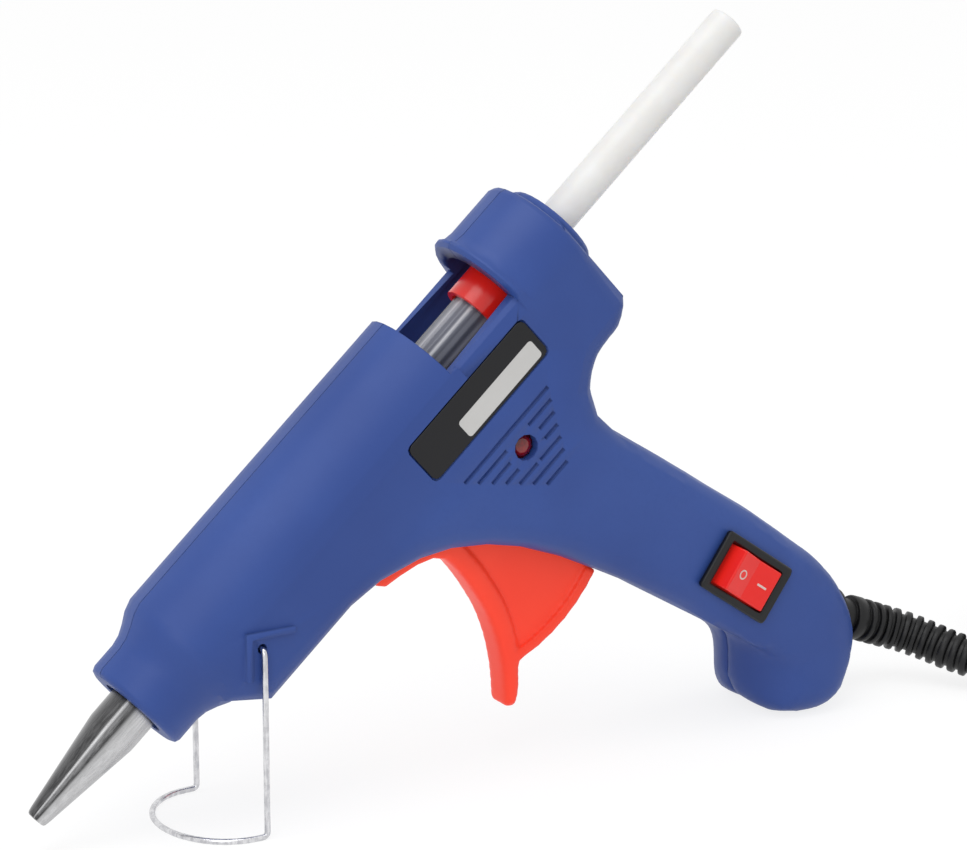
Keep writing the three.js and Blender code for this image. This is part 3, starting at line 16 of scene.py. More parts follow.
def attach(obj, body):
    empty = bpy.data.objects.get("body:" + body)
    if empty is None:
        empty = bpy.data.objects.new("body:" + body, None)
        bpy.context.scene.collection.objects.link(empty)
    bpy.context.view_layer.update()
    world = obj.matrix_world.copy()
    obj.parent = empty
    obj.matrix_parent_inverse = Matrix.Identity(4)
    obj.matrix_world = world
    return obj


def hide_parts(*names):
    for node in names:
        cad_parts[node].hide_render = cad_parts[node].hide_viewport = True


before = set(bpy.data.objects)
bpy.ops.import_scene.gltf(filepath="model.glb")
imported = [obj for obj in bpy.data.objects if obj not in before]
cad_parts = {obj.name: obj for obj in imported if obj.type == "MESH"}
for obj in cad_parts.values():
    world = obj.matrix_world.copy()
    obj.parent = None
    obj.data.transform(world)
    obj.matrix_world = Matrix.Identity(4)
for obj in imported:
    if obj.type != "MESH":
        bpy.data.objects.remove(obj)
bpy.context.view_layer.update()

# %% [markdown]
# ## One frame for the gun, one for the table
#
# The gun leans 41.7 degrees on its stand, so lengths along and across the barrel are easier to think in
# than table lengths. A matrix takes a point from the gun's frame to the table's. In the gun's frame X runs
# from the nozzle's tip back along the barrel, Z away from the grip and Y to the right side. Writing the
# turn once as a matrix keeps every later piece honest: it is modelled upright and straight, and laid in
# place at the end.

# %% The gun's frame
MM = 0.001
LEAN = math.radians(41.7)
TIP = Vector((-85.8847, 1.1295, 6.9135)) * MM

gun_to_table = Matrix.Translation(TIP) @ Matrix.Rotation(-LEAN, 4, "Y")


def at(along, up, right=0.0):
    """A point given in millimetres in the gun's frame, in metres on the table."""
    return gun_to_table @ (Vector((along, right, up)) * MM)


print("nozzle tip:", at(0, 0), "stick end:", at(196.6, 0))

# %% [markdown]
# ## The camera comes first
#
# The photograph was taken from the gun's left, a little above it, with a long lens. The camera's place and
# its three axes were worked out by fitting known points of the gun to their places in the picture. A
# camera looks along its own minus Z, so its matrix has right, up and back as its columns.

# %% Camera
def linked(name, data):
    """A new object with that data, in the scene."""
    made = bpy.data.objects.new(name, data)
    bpy.context.scene.collection.objects.link(made)
    return made


CAMERA_AT = (-0.35242, -0.59974, 0.26506)
right = Vector((0.85797, -0.51369, 0.0))
up = Vector((0.14004, 0.23390, 0.96211))
back = Vector((-0.49423, -0.82547, 0.27262))

camera_data = bpy.data.cameras.new("camera")
camera_data.sensor_width = 36.0
camera_data.lens = 145.56
camera_data.clip_start = 0.01
camera = linked("camera", camera_data)
axes = Matrix((right, up, back)).transposed().to_4x4()
camera.matrix_world = Matrix.Translation(CAMERA_AT) @ axes
bpy.context.scene.camera = camera
print("camera at", camera.location[:], "lens", camera_data.lens)

# %% [markdown]
# ## Soft studio light
#
# The gun was photographed in soft light from above and a little from the left, on white. The world gives
# an even level from all sides, and two large lamps add the direction. Camera, glossy and transmitted rays
# see a pure white world, so the background is white and metal and clear plastic show it too, without any
# more light on the object.

# %% A class for shader maths
class Flow:
    """One socket of a material or world, which takes part in sums as if it were a number."""

    def __init__(self, tree, socket=None):
        self.tree = tree
        self.socket = socket

    def node(self, kind, settings=(), inputs=(), output=0):
        """Adds a node, sets its settings, then its sockets from values or links, and gives one output."""
        made = self.tree.nodes.new(kind)
        for key, value in dict(settings).items():
            if key == "stops":
                while len(made.color_ramp.elements) < len(value):
                    made.color_ramp.elements.new(0.5)
                for element, (position, colour) in zip(made.color_ramp.elements, value):
                    element.position = position
                    element.color = colour
            else:
                setattr(made, key, value)
        for key, value in dict(inputs).items():
            if isinstance(value, Flow):
                self.tree.links.new(value.socket, made.inputs[key])
            else:
                made.inputs[key].default_value = value
        return Flow(self.tree, made.outputs[output])

    def maths(self, operation, *values):
        """One step of arithmetic on sockets and plain numbers."""
        return self.node("ShaderNodeMath", {"operation": operation}, dict(enumerate(values)))

    def __add__(self, other):
        return self.maths("ADD", self, other)

    def __sub__(self, other):
        return self.maths("SUBTRACT", self, other)

    def __mul__(self, other):
        return self.maths("MULTIPLY", self, other)


def direct_view(flow):
    """1 for rays from the camera, off a gloss and through clear plastic, and 0 for scattered light."""
    seen = flow.node("ShaderNodeLightPath", output="Is Camera Ray")
    for ray in ("Is Glossy Ray", "Is Transmission Ray"):
        seen = flow.maths("MAXIMUM", seen, flow.node("ShaderNodeLightPath", output=ray))
    return seen


print("Flow ready")

# %% World and lamps
ROOM_LEVEL = 0.62
GUN_MIDDLE = Vector((0.0, 0.0, 0.07))

world = bpy.data.worlds.new("studio")
world.use_nodes = True
world.node_tree.nodes.clear()
sky = Flow(world.node_tree)
level = direct_view(sky) * (1 - ROOM_LEVEL) + ROOM_LEVEL
glow = sky.node("ShaderNodeBackground", inputs={"Color": (1, 1, 1, 1), "Strength": level})
world_output = world.node_tree.nodes.new("ShaderNodeOutputWorld")
world.node_tree.links.new(glow.socket, world_output.inputs["Surface"])
bpy.context.scene.world = world
bpy.context.scene.view_settings.view_transform = "Standard"


def soft_lamp(name, place, size, power):
    """A square area lamp that faces the gun."""
    data = bpy.data.lights.new(name, "AREA")
    data.shape = "SQUARE"
    data.size = size
    data.energy = power
    lamp = linked(name, data)
    aim = (GUN_MIDDLE - Vector(place)).to_track_quat("-Z", "Y")
    lamp.matrix_world = Matrix.Translation(place) @ aim.to_matrix().to_4x4()
    return lamp


soft_lamp("overhead", (-0.25, -0.15, 1.0), 0.7, 3.4)
soft_lamp("front_left", (-0.75, -0.75, 0.55), 0.6, 2.2)
print("room level", ROOM_LEVEL)

# %% [markdown]
# ## Floor
#
# A product photograph's floor is paper that runs out to white. Here it is one large pale plane. Seen
# directly or in a reflection, most of its colour is a plain white glow. The rest is lit, which keeps the
# gun's soft shadow.

# %% Floor
FLOOR_HALF, PAPER_GLOW, GLOW_SHARE = 6.0, 1.12, 0.72

floor_mesh = bmesh.new()
bmesh.ops.create_grid(floor_mesh, x_segments=2, y_segments=2, size=FLOOR_HALF)
floor_data = bpy.data.meshes.new("floor")
floor_mesh.to_mesh(floor_data)
floor_mesh.free()
floor = linked("floor", floor_data)

paper = bpy.data.materials.new("paper")
paper.use_nodes = True
paper.node_tree.nodes.clear()
sheet = Flow(paper.node_tree)
lit_paper = sheet.node("ShaderNodeBsdfDiffuse", inputs={"Color": (0.9, 0.9, 0.9, 1)})
white_paper = sheet.node("ShaderNodeEmission", inputs={"Color": (1, 1, 1, 1), "Strength": PAPER_GLOW})
glow_share = direct_view(sheet) * GLOW_SHARE
mixed = sheet.node("ShaderNodeMixShader", inputs={0: glow_share, 1: lit_paper, 2: white_paper})
paper_output = paper.node_tree.nodes.new("ShaderNodeOutputMaterial")
paper.node_tree.links.new(mixed.socket, paper_output.inputs["Surface"])
floor_data.materials.append(paper)
print("floor", floor.dimensions[:])

# %% [markdown]
# ## Materials are small programs
#
# A moulded or plated surface is never one flat colour. Each finish below starts from the plain values of a
# Principled shader, and noise at two or three scales then shifts its colour, roughness and surface a little.
# Noise reads Object coordinates, so a pattern stays on its piece at its true size.

# %% Helpers for finishes
def srgb(red, green, blue):
    """An eight-bit screen colour as the linear colour that shaders use."""
    linear = []
    for value in (red, green, blue):
        share = value / 255
        linear.append(share / 12.92 if share <= 0.04045 else ((share + 0.055) / 1.055) ** 2.4)
    return (*linear, 1.0)


class Finish:
    """A material with one Principled shader. Plain values go straight on the shader's sockets."""

    def __init__(self, name, **values):
        self.material = bpy.data.materials.new(name)
        self.material.use_nodes = True
        tree = self.material.node_tree
        tree.nodes.clear()
        self.flow = Flow(tree)
        self.shader = tree.nodes.new("ShaderNodeBsdfPrincipled")
        output = tree.nodes.new("ShaderNodeOutputMaterial")
        tree.links.new(self.shader.outputs["BSDF"], output.inputs["Surface"])
        for socket, value in values.items():
            self.shader.inputs[socket.replace("_", " ")].default_value = value

    def place(self, location=(0, 0, 0), turn=(0, 0, 0), scale=(1, 1, 1)):
        """Object coordinates in a frame that stands at location, is turned and is scaled along its axes."""
        point = self.flow.node("ShaderNodeTexCoord", output="Object")
        if location == (0, 0, 0) and turn == (0, 0, 0) and scale == (1, 1, 1):
            return point
        sizes = tuple(1 / value for value in scale)
        inputs = {"Vector": point, "Location": location, "Rotation": turn, "Scale": sizes}
        return self.flow.node("ShaderNodeMapping", {"vector_type": "TEXTURE"}, inputs, output="Vector")

    def noise(self, scale, detail=2.0, place=None, rough=0.5):
        inputs = {"Vector": place or self.place(), "Scale": scale, "Detail": detail, "Roughness": rough}
        return self.flow.node("ShaderNodeTexNoise", inputs=inputs)

    def ramp(self, factor, low, high):
        """0 below low and 1 above high, with a smooth change between them."""
        inputs = {"Value": factor, "From Min": low, "From Max": high}
        return self.flow.node("ShaderNodeMapRange", {"interpolation_type": "SMOOTHSTEP"}, inputs)

    def mix(self, mask, first, second):
        inputs = {0: mask, 6: first, 7: second}
        return self.flow.node("ShaderNodeMix", {"data_type": "RGBA"}, inputs, output=2)

    def colour(self, value):
        self.flow.tree.links.new(value.socket, self.shader.inputs["Base Color"])
        return self

    def roughness(self, value):
        self.flow.tree.links.new(value.socket, self.shader.inputs["Roughness"])
        return self

    def bump(self, height, distance, strength=1.0, edge=0.0):
        """Raises the surface by height times distance, and rounds edges by the radius edge."""
        inputs = {"Height": height, "Distance": distance, "Strength": strength}
        if edge:
            inputs["Normal"] = self.flow.node("ShaderNodeBevel", {"samples": 4}, {"Radius": edge})
        bump = self.flow.node("ShaderNodeBump", inputs=inputs)
        self.flow.tree.links.new(bump.socket, self.shader.inputs["Normal"])
        return self


def moulded(name, base, deep, gloss, grain=2400, depth=0.00003, edge=0.0003, **values):
    """Injection-moulded plastic: faint flow clouds, a fine spark-eroded grain and slightly uneven gloss."""
    made = Finish(name, **values)
    clouds = made.ramp(made.noise(28, 3), 0.35, 0.65)
    specks = made.ramp(made.noise(900, 2), 0.42, 0.7)
    tone = made.mix(clouds, base, deep)
    made.colour(made.mix(specks * 0.18, tone, deep))
    handled = made.noise(90, 4)
    made.roughness(handled * 0.14 + (gloss - 0.07))
    made.bump(made.noise(grain, 2), depth, 0.35, edge)
    return made.material


print("finish helpers ready")

# %% [markdown]
# ## Plastics
#
# The shells are a mid-blue styrene with a soft sheen. Trigger, feed collar and rocker are three different
# reds: an opaque orange red, a deeper glossy red and a bright red. A little emission on each is a painted
# glow, which makes them brighter than the lamps alone would. The switch body and the strain relief are black,
# one hard and one soft. One moulding function makes them all and keeps their grain alike; what differs
# between them is written in its call.

# %% Plastic finishes
SHEEN = 0.35
blue_shell = moulded("blue_shell", srgb(53, 82, 154), srgb(47, 74, 144), 0.47, Specular_IOR_Level=SHEEN)
# The emission on the trigger, collar and rocker reds below is a painted glow.
trigger_red = moulded("trigger_red", srgb(255, 70, 44), srgb(246, 60, 38), 0.4, Specular_IOR_Level=SHEEN,
                      Emission_Color=(1.0, 0.07, 0.03, 1.0), Emission_Strength=0.2)
collar_red = moulded("collar_red", srgb(226, 34, 26), srgb(206, 24, 20), 0.16, depth=0.00001,
                     Emission_Color=(1.0, 0.03, 0.02, 1.0), Emission_Strength=0.1)
rocker_red = moulded("rocker_red", srgb(236, 32, 26), srgb(214, 24, 20), 0.3, depth=0.00001,
                     Specular_IOR_Level=SHEEN, Emission_Color=(1.0, 0.03, 0.02, 1.0),
                     Emission_Strength=0.14)
switch_black = moulded("switch_black", srgb(15, 16, 19), srgb(11, 12, 14), 0.34, Specular_IOR_Level=SHEEN)
cable_black = moulded("cable_black", srgb(15, 15, 17), srgb(11, 11, 13), 0.46, grain=1500, depth=0.00004,
                      edge=0.0, Specular_IOR_Level=SHEEN)
boot_black = moulded("boot_black", srgb(15, 15, 17), srgb(11, 11, 13), 0.4, grain=1700, depth=0.00004,
                     Specular_IOR_Level=SHEEN)
print("plastics:", blue_shell.name, trigger_red.name, collar_red.name, rocker_red.name, switch_black.name)

# %% [markdown]
# ## Metals
#
# The nozzle is a steel cone with painted reflections: bright and dark bands along it. A Mapping node of the
# texture kind first turns the pattern to the barrel and then scales it along the barrel's own axes, so the
# bands follow the angle round the cone and the grain is drawn out lengthways. The wire and the screws are
# plain plated steel with finer streaks.

# %% Metal finishes
ALONG_BARREL = (0.0, -LEAN, 0.0)
LIGHT_BAND_MIDDLE = math.radians(32.8)


def plated(name, bright, dull, gloss, streak=(60, 900, 900), dents=120, depth=0.0003):
    """Plated steel with streaks drawn out along one direction."""
    made = Finish(name, Metallic=1.0)
    streaks = made.noise(1.0, 3, made.place(scale=streak))
    waves = made.noise(dents, 2)
    mask = made.ramp(streaks * 0.6 + waves * 0.4, 0.38, 0.62)
    made.colour(made.mix(mask, dull, bright))
    made.roughness(streaks * 0.2 + (gloss - 0.1))
    made.bump(streaks * 0.5 + waves, depth, 0.3)
    return made.material


def grey(value):
    """A grey that is very slightly cold, as steel is."""
    return srgb(value, value, value + 1)


def painted_light_bands(made, stops):
    """Painted light and shade: bands along the barrel, by the angle from the left side's upper edge to its
    lower.
    """
    inputs = {"Vector": made.place(location=TIP, turn=ALONG_BARREL)}
    across = made.flow.node("ShaderNodeSeparateXYZ", inputs=inputs, output="Y")
    upward = made.flow.node("ShaderNodeSeparateXYZ", inputs=inputs, output="Z")
    turned_by = made.flow.maths("ARCTAN2", upward, across * -1) - LIGHT_BAND_MIDDLE
    share = made.flow.maths("SINE", turned_by) * -0.5 + 0.5
    return made.flow.node("ShaderNodeValToRGB", {"stops": stops}, {"Fac": share})


def reflection_banded_cone(name):
    """The nozzle: painted reflections as dark and bright bands along the cone, under fine grain."""
    made = Finish(name, Metallic=1.0)
    # These stops are painted reflections, light and dark bands round the cone.
    stops = [(0.0, grey(150)), (0.1, grey(104)), (0.2, grey(74)), (0.33, grey(70)), (0.37, grey(176)),
             (0.42, grey(80)), (0.55, grey(60)), (0.61, grey(178)), (0.75, grey(206)), (1.0, grey(186))]
    bands = painted_light_bands(made, stops)
    fine = made.noise(1.0, 4, made.place(turn=ALONG_BARREL, scale=(260, 3200, 3200)), 0.6)
    specks = made.ramp(fine, 0.36, 0.66)
    made.colour(made.mix(specks * 0.3, bands, grey(134)))
    made.roughness(fine * 0.16 + 0.2)
    made.bump(fine, 0.00003, 0.3)
    return made.material


nozzle_steel = reflection_banded_cone("nozzle_steel")
wire_steel = plated("wire_steel", srgb(222, 222, 224), srgb(190, 190, 194), 0.24, streak=(1800, 1800, 240),
                    dents=700, depth=0.00004)
screw_steel = plated("screw_steel", srgb(168, 168, 172), srgb(110, 110, 114), 0.3, streak=(700, 90, 700),
                     dents=400)
spring_steel = plated("spring_steel", srgb(150, 150, 154), srgb(96, 96, 100), 0.32, dents=300)
chamber_metal = plated("chamber_metal", srgb(176, 174, 170), srgb(128, 126, 122), 0.5, streak=(300, 300, 300))
brass = plated("brass", srgb(206, 172, 96), srgb(158, 124, 62), 0.34, streak=(400, 400, 400), dents=300)
print("metals:", nozzle_steel.name, wire_steel.name, screw_steel.name, spring_steel.name, brass.name)

# %% [markdown]
# ## Glue, clear tube, ceramic, rubber and wires
#
# A glue stick is milky: light enters it, scatters and comes out a little way off, which is subsurface
# scattering. The guide tube is clear plastic with a grey tint, and light and dark bands along it are painted
# highlights and painted shade of its ridges. Inside the shells, each bought-in piece gets the finish of the
# real one, so the gun also looks right with a shell taken off.

# %% Other finishes
milky = Finish("glue_stick", Roughness=0.34, Subsurface_Weight=0.55, Subsurface_Radius=(0.004, 0.0036, 0.003),
               Subsurface_Scale=1.0, Specular_IOR_Level=0.4)
cloudy = milky.ramp(milky.noise(150, 3), 0.2, 0.8)
milky.colour(milky.mix(cloudy, srgb(236, 236, 235), srgb(230, 229, 227)))
milky.bump(milky.noise(700, 3), 0.00006, 0.4)
glue_white = milky.material

clear = Finish("guide_tube", Roughness=0.1, Transmission_Weight=0.3, IOR=1.46)
# These stops paint the ridges' highlights and the shade beside them round the tube.
painted_ridge_light = [(0.0, srgb(70, 72, 84)), (0.12, srgb(214, 214, 222)), (0.19, srgb(120, 122, 136)),
         (0.32, srgb(124, 126, 140)), (0.37, srgb(226, 226, 232)), (0.43, srgb(116, 119, 134)),
         (0.7, srgb(108, 111, 126)), (0.8, srgb(188, 188, 200)), (0.87, srgb(104, 107, 122)),
         (1.0, srgb(84, 86, 100))]
haze = clear.ramp(clear.noise(1.0, 2, clear.place(turn=ALONG_BARREL, scale=(40, 500, 500))), 0.35, 0.65)
clear.colour(clear.mix(haze * 0.25, painted_light_bands(clear, painted_ridge_light), srgb(132, 134, 148)))
clear_plastic = clear.material

ceramic = moulded("ceramic_heater", srgb(226, 222, 210), srgb(206, 200, 186), 0.6, grain=1200, depth=0.00006)
silicone = moulded("silicone_seal", srgb(206, 92, 60), srgb(186, 76, 48), 0.5, grain=1400)
board_green = moulded("lamp_board", srgb(44, 98, 62), srgb(30, 76, 46), 0.4)
brown_sleeve = moulded("brown_sleeve", srgb(104, 62, 38), srgb(86, 48, 30), 0.4, edge=0.0)
blue_sleeve = moulded("blue_sleeve", srgb(50, 110, 180), srgb(38, 92, 160), 0.4, edge=0.0)
print("others:", glue_white.name, clear_plastic.name, ceramic.name, silicone.name, board_green.name)

# %% [markdown]
# ## Putting a piece in place
#
# Every piece is modelled as a bmesh, given its place in its own vertices and handed to one function. It
# makes the object, smooths it except over sharp edges, and says which body the piece rides on, which CAD
# node it stands for and which finish it takes.


def piece(name, shape, finish, body, nodes, crease=35, level=False):
    """Turns a bmesh, already in place, into a named piece of the gun."""
    data = bpy.data.meshes.new(name)
    shape.to_mesh(data)
    shape.free()
    for polygon in data.polygons:
        polygon.use_smooth = True
    data.set_sharp_from_angle(angle=math.radians(crease))
    finishes = finish if isinstance(finish, (list, tuple)) else [finish]
    for material in finishes:
        data.materials.append(material)
    made = linked(name, data)
    if level:
        even = made.modifiers.new("even shading", "WEIGHTED_NORMAL")
        even.keep_sharp = True
    return declare(made, body, nodes)


def declare(made, body, nodes):
    """Says which body carries the piece and which CAD nodes it stands for."""
    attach(made, body)
    if nodes:
        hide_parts(*nodes)
    return made


def cad_skin(node, flat=0.4):
    """A CAD node's mesh as one skin: doubles merged and the triangles of each flat face joined."""
    shape = bmesh.new()
    shape.from_mesh(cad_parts[node].data)
    bmesh.ops.remove_doubles(shape, verts=shape.verts, dist=0.000002)
    bmesh.ops.dissolve_limit(shape, angle_limit=math.radians(flat), verts=shape.verts, edges=shape.edges)
    return shape


def only_verts(geometry):
    """The vertices among what a bmesh operator made."""
    return [item for item in geometry if isinstance(item, bmesh.types.BMVert)]


def rounded_face(length, height, corner, segments):
    """A flat rectangle with round corners, in millimetres, centred on the origin."""
    shape = bmesh.new()
    bmesh.ops.create_grid(shape, x_segments=1, y_segments=1, size=0.5)
    bmesh.ops.scale(shape, vec=(length * MM, height * MM, 1), verts=shape.verts)
    bmesh.ops.bevel(shape, geom=shape.verts[:], offset=corner * MM, offset_type="OFFSET", segments=segments,
                    profile=0.5, affect="VERTICES", material=-1)
    return shape


def rub_round(shape, weight, grid, rounds, seam=0.0):
    """Rounds the creases of a region as hand work would. Long edges are cut to the grid, then every vertex
    moves again and again towards the middle of its neighbours, as far as its weight lets it. Vertices at the
    seam between the shells keep their side, and nothing sinks below the table."""
    for _ in range(6):
        near = [edge for edge in shape.edges if edge.calc_length() > grid * MM
                and max(weight(vert.co) for vert in edge.verts) > 0]
        if not near:
            break
        bmesh.ops.subdivide_edges(shape, edges=near, cuts=1)
        bmesh.ops.triangulate(shape, faces=[face for face in shape.faces if len(face.verts) > 3])
    moving = [(vert, weight(vert.co)) for vert in shape.verts]
    moving = [(vert, share, [edge.other_vert(vert) for edge in vert.link_edges])
              for vert, share in moving if share > 0]
    for _ in range(rounds):
        places = [vert.co.lerp(sum((other.co for other in around), Vector()) / len(around), 0.5 * share)
                  for vert, share, around in moving]
        for (vert, _, _), place in zip(moving, places):
            if seam and abs(vert.co.y - TIP.y) < seam * MM:
                place.y = vert.co.y
            place.z = max(place.z, 0.0) if vert.co.z > 0.00001 else vert.co.z
            vert.co = place
    return shape


def soften(made, width, segments=3, angle=40):
    """Rounds a piece's sharp edges with a Bevel modifier, as a mould or a die leaves them."""
    bevel = made.modifiers.new("rounded edges", "BEVEL")
    bevel.width = width
    bevel.segments = segments
    bevel.limit_method = "ANGLE"
    bevel.angle_limit = math.radians(angle)
    bevel.harden_normals = False
    return made


def spun(profile, steps=64):
    """A bmesh turned from [along, radius] pairs in millimetres about the barrel's axis."""
    shape = bmesh.new()
    points = [shape.verts.new((along * MM, 0, radius * MM)) for along, radius in profile]
    for first, second in zip(points, points[1:]):
        shape.edges.new((first, second))
    bmesh.ops.spin(shape, geom=shape.verts[:] + shape.edges[:], cent=(0, 0, 0), axis=(1, 0, 0),
                   angle=2 * math.pi, steps=steps, use_merge=True)
    bmesh.ops.remove_doubles(shape, verts=shape.verts, dist=0.000001)
    bmesh.ops.recalc_face_normals(shape, faces=shape.faces)
    return shape


print("piece helpers ready")

# %% [markdown]
# ## The cord
#
# The cord is 5 mm round cable. It leaves the strain relief, drops to the table and is folded into a hank
# behind the grip, just outside the picture. A tie holds the hank's waist, and the plug lies on its far end.
# The cord is one curve from the clamp inside the grip to the plug, so its length can be measured. Outside
# the hank its points are given one by one. In the hank they are worked out loop by loop: two straight runs,
# two round folds, and a climb to the next layer along a run.

# %% Cord route
CORD_RADIUS = 0.0025
HANK_START, HANK_ACROSS, HANK_RUN, HANK_INNER, HANK_PITCH = 153.4, 1.17, 64.0, 15.0, 5.8
HANK_TURNS, HANK_LOW, HANK_RISE, HANK_WAIST = 4, 3.3, 5.6, 5.0

inside_grip = [(71.57, 1.13, 20.79), (76.4, 1.13, 19.35), (81.2, 1.13, 17.92), (85.0, 1.13, 16.79),
               (86.91, 1.13, 16.22)]
through_boot = [(93.2, 1.02, 14.1), (99.5, 0.33, 11.62), (104.0, -2.07, 10.02), (107.5, -5.57, 8.52),
                (110.4, -9.57, 7.12), (113.7, -13.87, 5.92), (117.7, -17.47, 4.72)]
to_hank = [(119.9, -18.75, 4.3), (122.0, -19.6, 4.05), (124.4, -20.15, 3.9), (127.5, -20.4, 3.7),
           (133.0, -20.4, 3.5), (140.0, -20.4, 3.35), (148.1, -20.4, 3.3)]
to_plug = [(158.7, -18.86, 20.1), (163.0, -18.6, 20.4), (168.0, -17.3, 21.6), (173.0, -15.0, 23.3),
           (178.0, -12.0, 25.2), (183.0, -8.6, 27.1), (188.0, -5.3, 28.6), (193.0, -2.4, 29.4),
           (198.0, -0.4, 29.7), (202.0, 0.3, 29.7), (206.0, 0.5, 29.7), (209.0, 0.5, 29.7)]

loop_length = 2 * HANK_RUN + 2 * math.pi * (HANK_INNER + HANK_PITCH / 2)
half_run = HANK_RUN / 2 / loop_length
fold_share = 0.5 - 2 * half_run


def smooth_step(value, low, high):
    """0 below low and 1 above high, with a soft start and end."""
    share = min(1.0, max(0.0, (value - low) / (high - low)))
    return share * share * (3 - 2 * share)


def loop_point(turn, radius):
    """A point of a loop of that fold radius. It starts half way along the near run."""
    place = turn % 1.0
    side = 1 if place < 0.5 else -1
    nearer = place % 0.5
    if nearer < half_run or nearer > half_run + fold_share:
        passed = min(nearer, 0.5 - nearer) * loop_length
        return HANK_START + HANK_RUN / 2 + side * passed, side * radius * (1 if nearer > half_run else -1)
    angle = math.pi * (nearer - half_run) / fold_share
    middle = HANK_START + HANK_RUN if side > 0 else HANK_START
    return middle + side * radius * math.sin(angle), -side * radius * math.cos(angle)


def hank_point(turn):
    """The hank winds inwards and outwards in turn, climbs where it turns back, and has a waist."""
    outward = 1 - turn if turn < 0 else abs(turn - 2 * math.floor(turn / 2) - 1)
    along, across = loop_point(turn, HANK_INNER + HANK_PITCH * outward)
    share = min(1.0, max(0.0, (along - HANK_START) / HANK_RUN))
    drawn_in = HANK_WAIST * (1 - math.cos(2 * math.pi * share)) / 2
    layers = sum(smooth_step(turn, layer - half_run, layer + half_run) for layer in range(1, HANK_TURNS))
    return (along, HANK_ACROSS + across - math.copysign(drawn_in, across), HANK_LOW + HANK_RISE * layers)


hank_steps = HANK_TURNS * 48
in_hank = [hank_point(HANK_TURNS * step / hank_steps - half_run) for step in range(hank_steps + 1)]
cord_route = [Vector(point) * MM for point in inside_grip + through_boot + to_hank + in_hank + to_plug]

# %% Cord
cord_data = bpy.data.curves.new("mains_cord", "CURVE")
cord_data.dimensions = "3D"
cord_data.bevel_depth = CORD_RADIUS
cord_data.bevel_resolution = 4
cord_data.resolution_u = 3
cord_data.use_fill_caps = True
line = cord_data.splines.new("NURBS")
line.points.add(len(cord_route) - 1)
for point, place in zip(line.points, cord_route):
    point.co = (*place, 1.0)
line.order_u = 4
line.use_endpoint_u = True
cord_data.materials.append(cable_black)
mains_cord = linked("mains_cord", cord_data)
declare(mains_cord, "housing", ["inner_cord", "cord_free", "cord_hank", "cord_end"])
print("cord made of", len(line.points), "points")

# %% [markdown]
# ## Strain relief
#
# Where the cord leaves the grip it runs through a soft ribbed sleeve that stops it from kinking. The real
# one is moulded rubber: a flange inside the wall, a neck through it, a plain collar, and ribs that get
# smaller towards the end. A ring of vertices is extruded from station to station along the cord's route,
# and each new ring is moved and scaled into place, which is what a sweep does.

# %% A sweep along a route
def smooth_route(points, steps=8):
    """More points on a smooth line through the given ones."""
    ends = [2 * points[0] - points[1], *points, 2 * points[-1] - points[-2]]
    route = []
    for a, b, c, d in zip(ends, ends[1:], ends[2:], ends[3:]):
        for step in range(steps):
            t = step / steps
            bend, twist = 2 * a - 5 * b + 4 * c - d, 3 * b - a - 3 * c + d
            route.append(0.5 * (2 * b + (c - a) * t + bend * t**2 + twist * t**3))
    return [*route, points[-1]]


def station(route, distance, radius):
    """The matrix of a ring of that radius round the route, so far along it."""
    gone = 0.0
    for first, second in zip(route, route[1:]):
        step = (second - first).length
        if gone + step >= distance or second is route[-1]:
            break
        gone += step
    direction = (second - first).normalized()
    centre = first + direction * (distance - gone)
    across = (Vector((0, 1, 0)) - direction * direction.y).normalized()
    upward = direction.cross(across)
    turn = Matrix((across, upward, direction)).transposed().to_4x4()
    return Matrix.Translation(centre) @ turn @ Matrix.Scale(radius, 4)


def swept(route, stations, sides=32):
    """A skin drawn along a route through rings, each a distance and a radius in millimetres."""
    shape = bmesh.new()
    bmesh.ops.create_circle(shape, segments=sides, radius=1.0, cap_ends=False)
    ring_edges = shape.edges[:]
    ring = shape.verts[:]
    last = Matrix.Identity(4)
    for index, (distance, radius) in enumerate(stations):
        if index:
            grown = bmesh.ops.extrude_edge_only(shape, edges=ring_edges)["geom"]
            ring = only_verts(grown)
            ring_edges = [item for item in grown if isinstance(item, bmesh.types.BMEdge)
                          and all(vert in set(ring) for vert in item.verts)]
        here = station(route, distance * MM, radius * MM)
        bmesh.ops.transform(shape, matrix=here @ last.inverted(), verts=ring)
        last = here
    bmesh.ops.remove_doubles(shape, verts=shape.verts, dist=0.000001)
    bmesh.ops.recalc_face_normals(shape, faces=shape.faces)
    return shape


print("sweep ready")

# %% Strain relief
BOOT_BORE, BOOT_RIBS = 2.62, 14
RIBS_START, RIB_CREST, RIB_TAPER, RIB_DEPTH, CREST_EASE = 8.2, 4.35, 0.4, 0.8, 0.12
boot_route = smooth_route([Vector(point) * MM for point in inside_grip[4:] + through_boot])
boot_length = sum((b - a).length for a, b in zip(boot_route, boot_route[1:])) / MM
rings = [(0, BOOT_BORE), (0, 4.9), (0.3, 5.2), (1.3, 5.2), (1.6, 5.0), (1.6, 3.5), (5.6, 3.5), (5.6, 4.2),
         (5.9, 4.4), (7.9, 4.4), (RIBS_START, 4.2)]
pitch = (boot_length - RIBS_START) / BOOT_RIBS
for rib in range(BOOT_RIBS):
    start = RIBS_START + pitch * rib
    crest = RIB_CREST - RIB_TAPER * rib / BOOT_RIBS
    floor_radius = crest - RIB_DEPTH
    rings += [(start + pitch * 0.1, floor_radius), (start + pitch * 0.4, floor_radius),
              (start + pitch * 0.46, crest - CREST_EASE), (start + pitch * 0.56, crest),
              (start + pitch * 0.88, crest), (start + pitch * 0.96, crest - CREST_EASE)]
rings += [(boot_length, 3.3), (boot_length, BOOT_BORE)]
rings += [(boot_length * share, BOOT_BORE) for share in (0.75, 0.5, 0.25, 0.0)]
strain_relief = piece("ribbed_strain_relief", swept(boot_route, rings, 40), boot_black, "housing",
                      ["strain_relief"], crease=50)
print("strain relief length", round(boot_length, 2), "mm")

